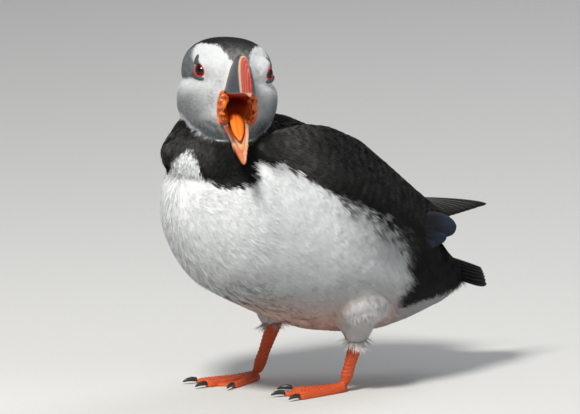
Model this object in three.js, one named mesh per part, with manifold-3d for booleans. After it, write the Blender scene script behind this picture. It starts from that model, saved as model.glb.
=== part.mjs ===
// An Atlantic puffin standing with its bill wide open, life size, as a museum model.
// Millimetres, +Z up. The bird is drawn heading along -Y with its left side at +X and the floor at Z 0.
import * as THREE from "three";
import { mergeVertices } from "three/addons/utils/BufferGeometryUtils.js";
import Module from "manifold-3d";

const wasm = await Module();
wasm.setup();

// ---- Driving dimensions -------------------------------------------------------------------------
const GAP = 0.3; // left between two pieces that touch
const SIDES = [
  ["left", 1],
  ["right", -1],
];

// The head is drawn in its own frame, facing -Y, with its origin midway between the eyes.
const HEAD = {
  at: [6.2, -47.9, 177.4],
  turn: 69, // to the bird's left, from straight ahead
  pitch: 10, // bill up
  roll: 4, // left side down
};
// Each egg has its own reach in front, behind, above and below.
const CRANIUM = { at: [0, 11, 0], wide: 24.7, front: 22, back: 17, up: 18.6, down: 22 };
const FACE = { at: [0, 7, -14], wide: 27.4, front: 25, back: 18, up: 13, down: 25.5 };
const CHIN = { at: [0, -5, -25], wide: 18, front: 15, back: 14, up: 12, down: 13.5 };
const LORE = { at: [0, -6, -4], wide: 15, front: 13, back: 10, up: 14, down: 17 };
const EYE = { at: [17.4, -6.4, -0.5], radius: 4.3 };
// The soft yellow rosettes at the corners of the mouth.
const GAPE = { at: [7.8, -19.5, -20], wide: 2.9, front: 6.2, back: 6.2, up: 9.4, down: 9.2 };
// The bill, mouth and eyes sit this far to the left of the head's middle.
const FACE_ASIDE = 1;

// Stations along a body's length: half its width, and its reach above and below the spine.
const UPPER_BILL = [
  { at: [0, -17, -12], wide: 7.3, up: 20, down: 1.5 },
  { at: [0, -25, -12.4], wide: 7.3, up: 21, down: 1.5 },
  { at: [0, -35, -12.4], wide: 6.4, up: 19.2, down: 1.5 },
  { at: [0, -44, -12.2], wide: 5.4, up: 14.6, down: 1.5 },
  { at: [0, -52, -12.6], wide: 3.4, up: 8, down: 1.6 },
  { at: [0, -57, -14.6], wide: 1.4, up: 2.4, down: 1.4 },
];
// The lower bill and the tongue are drawn shut, from the hinge, and then turned open.
const JAW = { hinge: [0, -2, -16], open: 38.5 };
const LOWER_BILL = [
  { at: [0, -18, 0], wide: 7.2, up: 1, down: 9 },
  { at: [0, -25, 0], wide: 6.7, up: 1, down: 9.6 },
  { at: [0, -36, 0], wide: 4.8, up: 1, down: 7.4 },
  { at: [0, -47, 0], wide: 2.8, up: 0.8, down: 4.2 },
  { at: [0, -55.5, 0.5], wide: 1, up: 0.6, down: 1.6 },
];
const BILL_TROUGH = [
  { at: [0, -14, 2], wide: 6, up: 4, down: 6 },
  { at: [0, -25, 2], wide: 5.4, up: 4, down: 5.6 },
  { at: [0, -36, 2], wide: 3.6, up: 4, down: 4.4 },
  { at: [0, -46, 2], wide: 1.6, up: 3, down: 3 },
];
const TONGUE = [
  { at: [0, -9, -1], wide: 3.6, up: 2, down: 1.6 },
  { at: [0, -18, 1.6], wide: 4, up: 1.8, down: 1.8 },
  { at: [0, -27, 1], wide: 3.4, up: 1.4, down: 1.5 },
  { at: [0, -36, 0.6], wide: 1.4, up: 0.8, down: 0.8 },
];
const MOUTH = [
  { at: [0, 0, -16.5], wide: 5, up: 2.6, down: 2.6 },
  { at: [0, -12, -18.4], wide: 7.4, up: 5, down: 6 },
  { at: [0, -24, -22], wide: 8.2, up: 8.4, down: 9.5 },
  { at: [0, -38, -27], wide: 9, up: 13, down: 16 },
];

const NECK = [
  { at: [0, -38, 118], wide: 43, up: 42, down: 40 },
  { at: [-2, -45, 133], wide: 32.5, up: 38.5, down: 38 },
  { at: [-4, -45, 147], wide: 24, up: 29, down: 29 },
  { at: [-3, -44, 163], wide: 20, up: 22, down: 24 },
];
const TRUNK = [
  { at: [0, -83, 108], wide: 34, up: 33, down: 32 },
  { at: [0, -55, 104], wide: 46, up: 43, down: 44 },
  { at: [0, -18, 94], wide: 51, up: 54, down: 52 },
  { at: [0, 20, 81], wide: 50, up: 49.5, down: 54 },
  { at: [0, 58, 66], wide: 39, up: 29, down: 42.5 },
  { at: [0, 84, 56], wide: 22, up: 14.5, down: 22.5 },
  { at: [0, 99, 53], wide: 13, up: 7, down: 8.5 },
];
const TAIL = {
  root: [0, 80, 64],
  pitch: -19,
  feathers: 8,
  spread: 11, // of the outer feathers, to each side
  length: 38,
  arch: 5.5, // how far the middle stands above the sides
};

// The left wing, folded: shoulder, forearm and the round ends of the inner flight feathers.
const WING = [
  { at: [27, -42, 139], wide: 5, up: 6, lean: -38 },
  { at: [31, -29, 139], wide: 6.5, up: 11, lean: -40 },
  { at: [33, -9, 133], wide: 7, up: 20, lean: -42 },
  { at: [33, 16, 122.5], wide: 7, up: 21.5, lean: -42 },
  { at: [30, 42, 104.5], wide: 6.5, up: 17, lean: -38 },
  { at: [26, 65, 89], wide: 4.5, up: 12.5, lean: -28 },
  { at: [25, 83, 83.5], wide: 1.5, up: 6.5, lean: -24 },
];
const PRIMARIES = [
  { at: [22, 57, 97.5], wide: 1.6, up: 5, lean: -30 },
  { at: [20, 76, 95.5], wide: 1.6, up: 4.6, lean: -30 },
  { at: [16, 95, 93.6], wide: 1.2, up: 3.2, lean: -34 },
  { at: [12, 112, 91.6], wide: 0.7, up: 1, lean: -36 },
];
const RIGHT_TIP_DROP = 6; // the right wing's tip lies this much lower than the left one's

const LEGS = {
  left: { hip: [31, 16, 50], ankle: [27, 19, 27], heel: [25.5, 12, 3.5], turn: -8, mirror: 1 },
  right: { hip: [-30, 0, 50], ankle: [-26, -1, 29], heel: [-28.5, -10, 3.5], turn: 8, mirror: -1 },
};
const TOES = [
  { name: "inner", length: 29, turn: -24 },
  { name: "middle", length: 36, turn: 0 },
  { name: "outer", length: 35, turn: 21 },
];
const TOE = { root: 3.2, tip: 2.1, high: 2.6, under: 2, heelRise: 1.2 };
const WEB = { thick: 1.1, heel: 3, short: 3, hollow: 0.8 };
const CLAW = { length: 7.5, root: 1.7, tip: 0.5, overlap: 1.5, rise: 2.4, drop: 1.2 };

// ---- Solids and meshes --------------------------------------------------------------------------
// A closed three.js geometry, put where matrix says, as a solid that can be joined and cut.
function solid(geometry, matrix = new THREE.Matrix4()) {
  const bare = new THREE.BufferGeometry();
  bare.setAttribute("position", geometry.getAttribute("position").clone());
  if (geometry.index) bare.setIndex(geometry.index.clone());
  bare.applyMatrix4(matrix);
  const merged = mergeVertices(bare, 1e-3);
  return new wasm.Manifold(
    new wasm.Mesh({
      numProp: 3,
      vertProperties: merged.attributes.position.array,
      triVerts: new Uint32Array(withoutSlivers(merged.index.array)),
    }),
  );
}

// Triangles that fold to nothing where a ring closes to a point are left out.
function withoutSlivers(index) {
  const kept = [];
  for (let i = 0; i < index.length; i += 3) {
    const [a, b, c] = [index[i], index[i + 1], index[i + 2]];
    if (a !== b && b !== c && a !== c) kept.push(a, b, c);
  }
  return kept;
}

function geometryOf(shape) {
  const mesh = shape.getMesh();
  const points = new Float32Array(mesh.numVert * 3);
  for (let i = 0; i < mesh.numVert; i++) {
    const from = i * mesh.numProp;
    points.set(mesh.vertProperties.subarray(from, from + 3), i * 3);
  }
  const geometry = new THREE.BufferGeometry();
  geometry.setAttribute("position", new THREE.BufferAttribute(points, 3));
  geometry.setIndex(new THREE.BufferAttribute(new Uint32Array(mesh.triVerts), 1));
  geometry.computeVertexNormals();
  return geometry;
}

const join = (shapes) => shapes.reduce((all, next) => all.add(next));
const cut = (shape, ...tools) => tools.reduce((left, tool) => left.subtract(tool), shape);

// ---- Shapes -------------------------------------------------------------------------------------
const degrees = THREE.MathUtils.degToRad;
const UPWARD = [0, 0, 1];
const FORWARD = [0, -1, 0];
const OVAL = (angle) => [Math.cos(angle), Math.sin(angle)];

// An oval whose upper (+1) or lower (-1) half narrows to a ridge.
const ridged = (which, sharpness) => (angle) => {
  const [x, y] = OVAL(angle);
  return y * which > 0 ? [Math.sign(x) * (1 - Math.abs(y)) ** sharpness, y] : [x, y];
};
const ARCH = ridged(1, 0.45);
const KEEL = ridged(-1, 0.5);

// A body drawn out along a spine. The rings of a sphere become ovals of the stations' own sizes,
// and over the first and last share of the length they close in a round end. The rings stand
// square to the spine, or to axis where one is given, as a spine shorter than it is wide needs.
function loft(stations, options = {}) {
  const { sides = 20, rings = 16, section = OVAL, up = UPWARD } = options;
  const { frontCap = 0.12, backCap = 0.12, grow = 0, axis = null } = options;
  const spine = curveThrough(stations.map((s) => s.at));
  const sizes = curveThrough(stations.map((s) => [s.wide, s.up, s.down ?? s.up]));
  const leans = curveThrough(stations.map((s) => [s.lean ?? 0, 0, 0]));
  const geometry = new THREE.SphereGeometry(1, sides, rings);
  const positions = geometry.getAttribute("position");
  const unit = new THREE.Vector3();
  const crown = new THREE.Vector3(...up);
  for (let i = 0; i < positions.count; i++) {
    unit.fromBufferAttribute(positions, i);
    const t = THREE.MathUtils.clamp((1 - unit.y) / 2, 0, 1);
    const cap = roundEnd(t / frontCap) * roundEnd((1 - t) / backCap);
    const size = sizes.getPoint(t);
    const along = axis ? new THREE.Vector3(...axis) : spine.getTangent(t);
    const across = new THREE.Vector3().crossVectors(along, crown).normalize();
    across.applyAxisAngle(along, degrees(leans.getPoint(t).x));
    const upward = new THREE.Vector3().crossVectors(across, along);
    const [x, y] = section(Math.atan2(unit.z, unit.x));
    const height = y >= 0 ? size.y : size.z;
    const at = spine.getPoint(t);
    at.addScaledVector(across, (size.x + grow) * x * cap);
    at.addScaledVector(upward, (height + grow) * y * cap);
    at.addScaledVector(along, grow * (2 * t - 1) * (1 - cap));
    positions.setXYZ(i, at.x, at.y, at.z);
  }
  return turnedOut(geometry);
}

function curveThrough(points) {
  const places = points.map((p) => new THREE.Vector3(...p));
  return new THREE.CatmullRomCurve3(places, false, "catmullrom", 0.5);
}

function roundEnd(share) {
  const s = THREE.MathUtils.clamp(share, 0, 1);
  return Math.sqrt(1 - (1 - s) ** 2);
}

// The same geometry with its faces pointing outwards.
function turnedOut(geometry) {
  const p = geometry.getAttribute("position");
  const index = geometry.index.array;
  const [a, b, c] = [new THREE.Vector3(), new THREE.Vector3(), new THREE.Vector3()];
  let volume = 0;
  for (let i = 0; i < index.length; i += 3) {
    a.fromBufferAttribute(p, index[i]);
    b.fromBufferAttribute(p, index[i + 1]);
    c.fromBufferAttribute(p, index[i + 2]);
    volume += a.dot(b.cross(c));
  }
  if (volume < 0) index.reverse();
  return geometry;
}

// An egg with rounded-square sections, which reaches its own distance each way from at.
function egg(form, { grow = 0, mirror = 1, sides = 18, rings = 12, square = 2.3 } = {}) {
  const { at, wide, front, back, up, down } = form;
  const geometry = new THREE.SphereGeometry(1, sides, rings);
  geometry.rotateX(Math.PI / 2);
  const positions = geometry.getAttribute("position");
  for (let i = 0; i < positions.count; i++) {
    const unit = new THREE.Vector3().fromBufferAttribute(positions, i);
    const powers = unit.toArray().map((v) => Math.abs(v) ** square);
    unit.multiplyScalar((powers[0] + powers[1] + powers[2]) ** (-1 / square));
    const length = (unit.y < 0 ? front : back) + grow;
    const height = (unit.z < 0 ? down : up) + grow;
    unit.set(unit.x * (wide + grow), unit.y * length, unit.z * height);
    positions.setXYZ(i, unit.x + at[0] * mirror, unit.y + at[1], unit.z + at[2]);
  }
  return geometry;
}

const mirrored = (stations, mirror) =>
  stations.map((s) => ({
    ...s,
    at: [s.at[0] * mirror, s.at[1], s.at[2]],
    lean: s.lean * mirror,
  }));

// ---- Head ---------------------------------------------------------------------------------------
const headPlace = new THREE.Matrix4().compose(
  new THREE.Vector3(...HEAD.at),
  new THREE.Quaternion().setFromEuler(
    new THREE.Euler(degrees(-HEAD.pitch), degrees(HEAD.roll), degrees(HEAD.turn), "ZXY"),
  ),
  new THREE.Vector3(1, 1, 1),
);
const aside = new THREE.Matrix4().makeTranslation(FACE_ASIDE, 0, 0);
const jawPlace = aside
  .clone()
  .multiply(new THREE.Matrix4().makeTranslation(...JAW.hinge))
  .multiply(new THREE.Matrix4().makeRotationX(degrees(JAW.open)));

const headForm = (grow = 0) =>
  join([
    solid(egg(CRANIUM, { grow })),
    solid(egg(FACE, { grow })),
    solid(egg(LORE, { grow, sides: 12, rings: 8 })),
    solid(egg(CHIN, { grow, sides: 14, rings: 9 })),
  ]);

function upperBill(grow = 0) {
  const options = { section: ARCH, sides: 18, rings: 14, frontCap: 0.02, backCap: 0.1 };
  return solid(loft(UPPER_BILL, { ...options, grow }), aside);
}

function lowerBill(grow = 0) {
  const options = { section: KEEL, sides: 14, rings: 12, frontCap: 0.02, backCap: 0.1 };
  return solid(loft(LOWER_BILL, { ...options, grow }), jawPlace);
}

function billTrough() {
  const options = { section: KEEL, sides: 12, rings: 8, frontCap: 0.02, backCap: 0.2 };
  return solid(loft(BILL_TROUGH, options), jawPlace);
}

function mouthHollow() {
  const options = { sides: 12, rings: 8, frontCap: 0.2, backCap: 0.05 };
  return solid(loft(MOUTH, options), aside);
}

function eyeBall(mirror, grow = 0) {
  const geometry = new THREE.SphereGeometry(EYE.radius + grow, 12, 9);
  return solid(geometry.translate(EYE.at[0] * mirror, EYE.at[1], EYE.at[2]), aside);
}

const gapePad = (mirror, grow = 0) =>
  solid(egg(GAPE, { grow, mirror, sides: 10, rings: 7, square: 2 }), aside);

function buildHead() {
  const hollow = mouthHollow();
  const bills = [upperBill(GAP), lowerBill(GAP)];
  const features = SIDES.flatMap(([, mirror]) => [gapePad(mirror, GAP), eyeBall(mirror, GAP)]);
  const tongue = solid(loft(TONGUE, { sides: 10, rings: 8, backCap: 0.25 }), jawPlace);
  const pieces = {
    head: cut(headForm(), hollow, ...bills, ...features),
    bill_upper: upperBill(),
    bill_lower: cut(lowerBill(), billTrough()),
    tongue: cut(tongue, cut(lowerBill(GAP), billTrough()), cut(headForm(GAP), hollow)),
  };
  for (const [name, mirror] of SIDES) {
    pieces["eye_" + name] = eyeBall(mirror);
    pieces["gape_" + name] = cut(gapePad(mirror), hollow, ...bills);
  }
  return pieces;
}

// ---- Neck, trunk, tail and wings ----------------------------------------------------------------
const trunkForm = (grow = 0) =>
  solid(loft(TRUNK, { sides: 24, rings: 18, frontCap: 0.2, backCap: 0.06, grow }));

function neckForm(grow = 0) {
  const ends = { frontCap: 0.3, backCap: 0.3 };
  return solid(loft(NECK, { ...ends, sides: 18, rings: 9, up: FORWARD, axis: UPWARD, grow }));
}

// Tail feathers lie over each other in a fan that is highest along its middle.
function tail() {
  const feathers = [];
  for (let i = 0; i < TAIL.feathers; i++) {
    const share = (2 * i) / (TAIL.feathers - 1) - 1;
    const middle = 1 - Math.abs(share);
    const stations = [
      { at: [share * 5, 0, middle], wide: 3.8, up: 3.4 },
      { at: [share * 6, TAIL.length / 2, middle], wide: 4.2, up: 2.6 },
      { at: [share * 6, TAIL.length - 3 * (1 - middle), 0], wide: 2.6, up: 0.8 },
    ];
    const fanned = new THREE.Matrix4()
      .makeTranslation(0, 0, -TAIL.arch * share ** 2)
      .multiply(new THREE.Matrix4().makeRotationZ(degrees(-TAIL.spread * share)));
    const options = { sides: 6, rings: 4, frontCap: 0.1, backCap: 0.2 };
    feathers.push(solid(loft(stations, options), fanned));
  }
  const place = new THREE.Matrix4()
    .makeTranslation(...TAIL.root)
    .multiply(new THREE.Matrix4().makeRotationX(degrees(TAIL.pitch)));
  return join(feathers).transform(place.elements);
}

const wingForm = (mirror, grow = 0) =>
  solid(loft(mirrored(WING, mirror), { sides: 16, rings: 14, backCap: 0.14, grow }));

function primariesForm(mirror) {
  const options = { sides: 8, rings: 8, frontCap: 0.05, backCap: 0.2 };
  const form = loft(mirrored(PRIMARIES, mirror), options);
  return solid(form.translate(0, 0, mirror > 0 ? 0 : -RIGHT_TIP_DROP));
}

function buildTrunk() {
  const head = headForm(GAP).transform(headPlace.elements);
  const [trunk, neck] = [trunkForm(GAP), neckForm(GAP)];
  const pieces = {
    neck: cut(neckForm(), head),
    trunk: cut(trunkForm(), neck, head),
    tail: cut(tail(), trunk),
  };
  for (const [name, mirror] of SIDES) {
    pieces["wing_" + name] = cut(wingForm(mirror), trunk, neck, head);
    pieces["primaries_" + name] = cut(primariesForm(mirror), wingForm(mirror, GAP), trunk);
  }
  return pieces;
}

// ---- Legs and feet ------------------------------------------------------------------------------
const between = (from, to, share) => from.map((v, i) => THREE.MathUtils.lerp(v, to[i], share));

function thigh({ hip, ankle }) {
  const [x, y, z] = hip;
  const stations = [
    { at: [x, y, z + 12], wide: 15, up: 17 },
    { at: [x, y + 1, z - 2], wide: 15, up: 17, down: 20 },
    { at: between(hip, ankle, 0.55), wide: 9.5, up: 10, down: 12 },
    { at: between(hip, ankle, 1.08), wide: 5, up: 5.5 },
  ];
  return solid(loft(stations, { sides: 14, rings: 8, up: FORWARD, frontCap: 0.3, backCap: 0.08 }));
}

function tarsus({ ankle, heel }, grow = 0) {
  const stations = [
    { at: between(ankle, heel, -0.13), wide: 3.6, up: 4.2 },
    { at: ankle, wide: 3.7, up: 4.4 },
    { at: between(ankle, heel, 0.5), wide: 2.5, up: 3.3 },
    { at: heel, wide: 3.1, up: 3.9 },
  ];
  const ends = { frontCap: 0.1, backCap: 0.15 };
  return solid(loft(stations, { ...ends, sides: 10, rings: 8, up: FORWARD, grow }));
}

// A point over the floor, so far from the heel in a toe's direction.
function alongToe({ turn }, far, z) {
  const angle = degrees(turn);
  return [Math.sin(angle) * far, -Math.cos(angle) * far, z];
}

function toeForm(toe) {
  const at = (share, z) => alongToe(toe, toe.length * share, z);
  const { root, tip, high, under, heelRise } = TOE;
  const stations = [
    { at: at(-0.06, 2.2), wide: root, up: high + heelRise, down: under + 1 },
    { at: at(0.3, 1.2), wide: root - 0.6, up: high, down: under },
    { at: at(0.7, 1), wide: tip, up: high - 0.4, down: under },
    { at: at(1, 1), wide: tip - 0.3, up: high - 0.8, down: under },
  ];
  return solid(loft(stations, { sides: 8, rings: 5, frontCap: 0.15, backCap: 0.12 }));
}

// The web between two toes, its front edge drawn in towards the heel.
function web(first, second) {
  const from = new THREE.Vector3(...alongToe(first, first.length - WEB.short, 0));
  const to = new THREE.Vector3(...alongToe(second, second.length - WEB.short, 0));
  const inward = from.clone().add(to).multiplyScalar(WEB.hollow / 2);
  const outline = new THREE.Shape();
  outline.moveTo(0, WEB.heel);
  outline.lineTo(from.x, from.y);
  outline.quadraticCurveTo(inward.x, inward.y, to.x, to.y);
  const options = { depth: WEB.thick, bevelEnabled: false, curveSegments: 4 };
  return solid(new THREE.ExtrudeGeometry(outline, options));
}

// Toes and webs, flat underneath where they stand on the floor.
function footForm([inner, middle, outer]) {
  const side = 400;
  const aboveFloor = solid(new THREE.BoxGeometry(side, side, side).translate(0, 0, side / 2));
  const forms = [inner, middle, outer].map(toeForm);
  return join([...forms, web(inner, middle), web(middle, outer)]).intersect(aboveFloor);
}

function claw(toe, grow = 0) {
  const at = (far, z) => alongToe(toe, toe.length + far, z);
  const { length, root, tip, overlap, rise, drop } = CLAW;
  const stations = [
    { at: at(-overlap, rise - 0.2), wide: root, up: root * 0.9 },
    { at: at(length * 0.45, rise + 0.2), wide: root * 0.7, up: root * 0.8 },
    { at: at(length, rise - drop), wide: tip, up: tip },
  ];
  return solid(loft(stations, { sides: 6, rings: 5, frontCap: 0.15, backCap: 0.2, grow }));
}

function buildLeg(name) {
  const leg = LEGS[name];
  const toes = TOES.map((toe) => ({ ...toe, turn: toe.turn * leg.mirror }));
  const stand = new THREE.Matrix4()
    .makeTranslation(leg.heel[0], leg.heel[1], 0)
    .multiply(new THREE.Matrix4().makeRotationZ(degrees(leg.turn)));
  const place = (shape) => shape.transform(stand.elements);
  const shank = tarsus(leg, GAP);
  const claws = toes.map((toe) => place(claw(toe, GAP)));
  const pieces = {
    ["thigh_" + name]: cut(thigh(leg), trunkForm(GAP), shank),
    ["tarsus_" + name]: tarsus(leg),
    ["foot_" + name]: cut(place(footForm(toes)), shank, ...claws),
  };
  for (const toe of toes) pieces[`claw_${name}_${toe.name}`] = place(claw(toe));
  return pieces;
}

// ---- Assembly -----------------------------------------------------------------------------------
const PAINT = {
  white: [0xeef0f0, 0.85],
  grey: [0xd6d8da, 0.85],
  black: [0x17181a, 0.7],
  orange: [0xe8501c, 0.5],
  red: [0xd8452a, 0.35],
  yellow: [0xf58a14, 0.4],
  horn: [0x1c1816, 0.4],
  brown: [0x1a100c, 0.1],
};
// The paint of each node, by the first word of its name.
const COLOURS = {
  head: "grey",
  bill: "red",
  tongue: "yellow",
  eye: "brown",
  gape: "yellow",
  neck: "black",
  trunk: "white",
  tail: "black",
  wing: "black",
  primaries: "black",
  thigh: "white",
  tarsus: "orange",
  foot: "orange",
  claw: "horn",
};

function addMeshes(group, pieces) {
  for (const [name, shape] of Object.entries(pieces)) {
    const [color, roughness] = PAINT[COLOURS[name.split("_")[0]]];
    const material = new THREE.MeshStandardMaterial({ color, roughness, metalness: 0 });
    const mesh = new THREE.Mesh(geometryOf(shape), material);
    mesh.name = name;
    group.add(mesh);
  }
}

const headGroup = new THREE.Group();
headGroup.applyMatrix4(headPlace);
addMeshes(headGroup, buildHead());

const bird = new THREE.Group();
bird.add(headGroup);
addMeshes(bird, { ...buildTrunk(), ...buildLeg("left"), ...buildLeg("right") });

// The origin is under the middle of the bird's box, on the floor.
const middle = new THREE.Box3().setFromObject(bird, true).getCenter(new THREE.Vector3());
bird.position.set(-middle.x, -middle.y, 0);

export default new THREE.Group().add(bird);
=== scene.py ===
"""An Atlantic puffin standing with its bill wide open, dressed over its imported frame.

One skin lies inside the solids of the flesh, and feathers modelled as mesh lie over it. Lengths are in
millimetres in the bird's own frame (heading along -Y, its left side at +X) and in the head's frame
(facing -Y, midway between the eyes), and metres in Blender's.
"""
import math

import bmesh
import bpy
import numpy as np
from bpy.props import FloatProperty, FloatVectorProperty, IntProperty, PointerProperty
from mathutils import Euler, Matrix, Vector
from mathutils.bvhtree import BVHTree


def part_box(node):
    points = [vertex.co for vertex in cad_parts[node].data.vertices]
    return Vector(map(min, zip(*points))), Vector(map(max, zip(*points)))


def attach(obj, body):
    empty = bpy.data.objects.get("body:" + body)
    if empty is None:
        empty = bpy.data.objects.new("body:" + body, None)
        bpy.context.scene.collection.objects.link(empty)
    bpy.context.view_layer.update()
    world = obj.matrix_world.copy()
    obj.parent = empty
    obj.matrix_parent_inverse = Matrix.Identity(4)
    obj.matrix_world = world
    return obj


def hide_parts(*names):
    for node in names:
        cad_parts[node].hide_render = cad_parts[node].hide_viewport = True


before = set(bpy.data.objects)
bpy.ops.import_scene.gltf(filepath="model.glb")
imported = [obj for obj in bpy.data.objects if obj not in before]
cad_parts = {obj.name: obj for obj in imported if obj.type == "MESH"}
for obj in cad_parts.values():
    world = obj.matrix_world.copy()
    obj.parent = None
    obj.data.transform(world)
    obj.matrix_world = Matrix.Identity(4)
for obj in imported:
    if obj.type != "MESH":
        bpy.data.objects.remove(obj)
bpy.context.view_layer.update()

bl_info = {
    "name": "Atlantic Puffin",
    "version": (1, 0, 0),
    "blender": (4, 5, 0),
    "location": "View3D > Sidebar > Puffin",
    "description": "Dresses a life-size Atlantic puffin with skin, plumage, bill, eyes and feet",
    "category": "Object",
}

MM = 0.001
SIDES = {"left": 1, "right": -1}
FLESH = ("head", "neck", "trunk", "wing_left", "wing_right", "thigh_left", "thigh_right")


# ---- Places -------------------------------------------------------------------------------------
# The head's turn to the bird's left, its pitch and its roll, as the solids have them.
HEAD_TURN, HEAD_PITCH, HEAD_ROLL = math.radians(69), math.radians(-10), math.radians(4)
HEAD_AXES = (
    Matrix.Rotation(HEAD_TURN, 3, "Z")
    @ Matrix.Rotation(HEAD_PITCH, 3, "X")
    @ Matrix.Rotation(HEAD_ROLL, 3, "Y")
)
EYE_AT = np.array([17.4, -6.4, -0.5])  # the left eye from the middle of the face, in the head's frame
FACE_ASIDE = 1.0  # the face's middle lies this far to the left of the head's, in millimetres
EYE_RADIUS = 4.3
TRUNK_FRONT = -83.0  # the breast's foremost point, along the bird's Y


def middle(node):
    low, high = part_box(node)
    return (low + high) / 2


def find_places():
    """The origins of the bird's and the head's frames, in metres."""
    eyes = (middle("eye_left") + middle("eye_right")) / 2
    head = eyes - HEAD_AXES @ Vector((FACE_ASIDE, EYE_AT[1], EYE_AT[2])) * MM
    low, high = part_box("trunk")
    bird = Vector(((low.x + high.x) / 2, low.y - TRUNK_FRONT * MM, 0))
    return np.array(bird), np.array(head)


BIRD_ORIGIN, HEAD_ORIGIN = find_places()
HEAD_TURNED = np.array(HEAD_AXES)


def to_bird(points):
    return (points - BIRD_ORIGIN) / MM


def from_bird(points):
    return np.asarray(points, float) * MM + BIRD_ORIGIN


def to_head(points):
    return (points - HEAD_ORIGIN) @ HEAD_TURNED / MM


def from_head(points):
    return np.asarray(points, float) @ HEAD_TURNED.T * MM + HEAD_ORIGIN


# ---- Fields -------------------------------------------------------------------------------------
def ramp(low, high, value):
    """0 below low, 1 above high (or the other way round), and smooth between."""
    share = np.clip((value - low) / (high - low), 0, 1)
    return share * share * (3 - 2 * share)


def line(value, at, width):
    """1 on a soft line across value, about width wide."""
    return np.exp(-(((value - at) / (width / 2)) ** 2))


def unit(vectors):
    length = np.linalg.norm(vectors, axis=1, keepdims=True)
    return vectors / np.maximum(length, 1e-9)


def along_surface(vectors, normals):
    """The vectors with what stands out of the surface taken off, at unit length."""
    return unit(vectors - normals * np.sum(vectors * normals, axis=1, keepdims=True))


CAP_ASIDE = 2.4  # how far the cap's middle lies to the left of the head's
CAP_EDGE = {  # the height of the dark cap's lower edge, by the distance aside from its middle
    "side": [0, 4, 5.5, 6.6, 8.8, 11.8, 20], "height": [0, 3.5, 6, 8.4, 12.2, 13.4, 14.3],
}


def face_share(head):
    """1 on the pale face, 0 on the dark cap, nape and collar round it. head is in the head's frame."""
    x, y, z = head.T
    cap_line = np.interp(np.abs(x - CAP_ASIDE), CAP_EDGE["side"], CAP_EDGE["height"])
    oval = 26 * (1 - np.hypot((y + 4) / 24, (z + 12) / 28))
    inside = np.minimum(np.minimum(cap_line - z, oval), z - chin_line(head))
    return ramp(-0.5, 0.5, inside)


def chin_line(head):
    """The height of the pale face's lower edge."""
    return -40 + 16 * (head[:, 0] / 26) ** 2


COLLAR_EDGE = {  # the height of the dark collar's lower edge, by the bearing round the neck
    "bearing": [
        -60, -36, -1, 11, 15.6, 20.4, 27, 32.6, 35.3, 38, 43.7, 49.4, 57, 64, 70, 76.4, 82, 84.8, 87, 100,
    ],
    "height": [
        115, 120.8, 127.2, 132.5, 135, 138, 136.5, 132.5, 128, 124.5, 122, 120, 119.5, 119.5, 120, 121.5,
        123.5, 127, 131.7, 131.5,
    ],
}


def collar_line(bird):
    x, y, _ = bird.T
    bearing = np.degrees(np.arctan2(x + 3, -(y + 45)))
    return np.interp(bearing, COLLAR_EDGE["bearing"], COLLAR_EDGE["height"])


WING_LINE = {  # the middle of the folded wing, from the shoulder to its round end
    "y": [-42, -29, -9, 16, 42, 65, 83, 110],
    "z": [139, 139, 133, 122.5, 104.5, 89, 83.5, 74],
}


FLANK_EDGE = {  # where the dark rear of the trunk begins, by height
    "z": [48, 60, 74, 86, 92, 99, 106], "y": [42, 43.5, 41.5, 39, 33, 23, 9],
}


def trunk_dark(bird):
    """1 on the dark back, rump and rear of the trunk, fading into the flank."""
    _, y, z = bird.T
    back = ramp(-2, 2, z - np.interp(y, WING_LINE["y"], WING_LINE["z"]) + 9)
    behind = y - np.interp(z, FLANK_EDGE["z"], FLANK_EDGE["y"])
    fade = 6 + 18 * ramp(70, 92, z)
    undertail = 44.5 + 0.08 * np.clip(y - 40, 0, None)
    rear = ramp(-1, 1, (behind + 0.3 * fade) / fade) * ramp(-1, 1, z - undertail)
    return np.maximum(back, rear)


# ---- Meshes -------------------------------------------------------------------------------------
def corners_of(mesh):
    points = np.empty(len(mesh.vertices) * 3, np.float32)
    mesh.vertices.foreach_get("co", points)
    return points.reshape(-1, 3).astype(float)


def normals_of(mesh):
    normals = np.empty(len(mesh.vertices) * 3, np.float32)
    mesh.vertex_normals.foreach_get("vector", normals)
    return normals.reshape(-1, 3).astype(float)


def move_corners(mesh, points):
    mesh.vertices.foreach_set("co", points.astype(np.float32).ravel())
    mesh.update()


def edges_of(mesh):
    edges = np.empty(len(mesh.edges) * 2, np.int32)
    mesh.edges.foreach_get("vertices", edges)
    return edges.reshape(-1, 2)


def relax(values, edges, share, rounds):
    """Moves each value towards the mean of its neighbours', by share, so many times."""
    count = len(values)
    degree = np.bincount(edges.ravel(), minlength=count)[:, None]
    ends = np.concatenate([edges[:, 0], edges[:, 1]])
    others = np.concatenate([edges[:, 1], edges[:, 0]])
    share = np.broadcast_to(np.asarray(share, float).reshape(-1, 1), (count, 1))
    for _ in range(rounds):
        around = values[others]
        sums = np.column_stack([np.bincount(ends, around[:, i], count) for i in range(values.shape[1])])
        values = values + share * (sums / degree - values)
    return values


def merged_copy(*nodes, swell=0.0):
    """One mesh of copies of solids, with shared corners, each swollen by so many metres."""
    sheet = bmesh.new()
    for node in nodes:
        sheet.from_mesh(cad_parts[node].data)
    bmesh.ops.remove_doubles(sheet, verts=sheet.verts, dist=1e-6)
    sheet.normal_update()
    for corner in sheet.verts:
        corner.co += corner.normal * swell
    mesh = bpy.data.meshes.new("_".join(nodes))
    sheet.to_mesh(mesh)
    sheet.free()
    return mesh


def new_object(name, mesh):
    piece = bpy.data.objects.new(name, mesh)
    bpy.context.scene.collection.objects.link(piece)
    return piece


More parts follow.
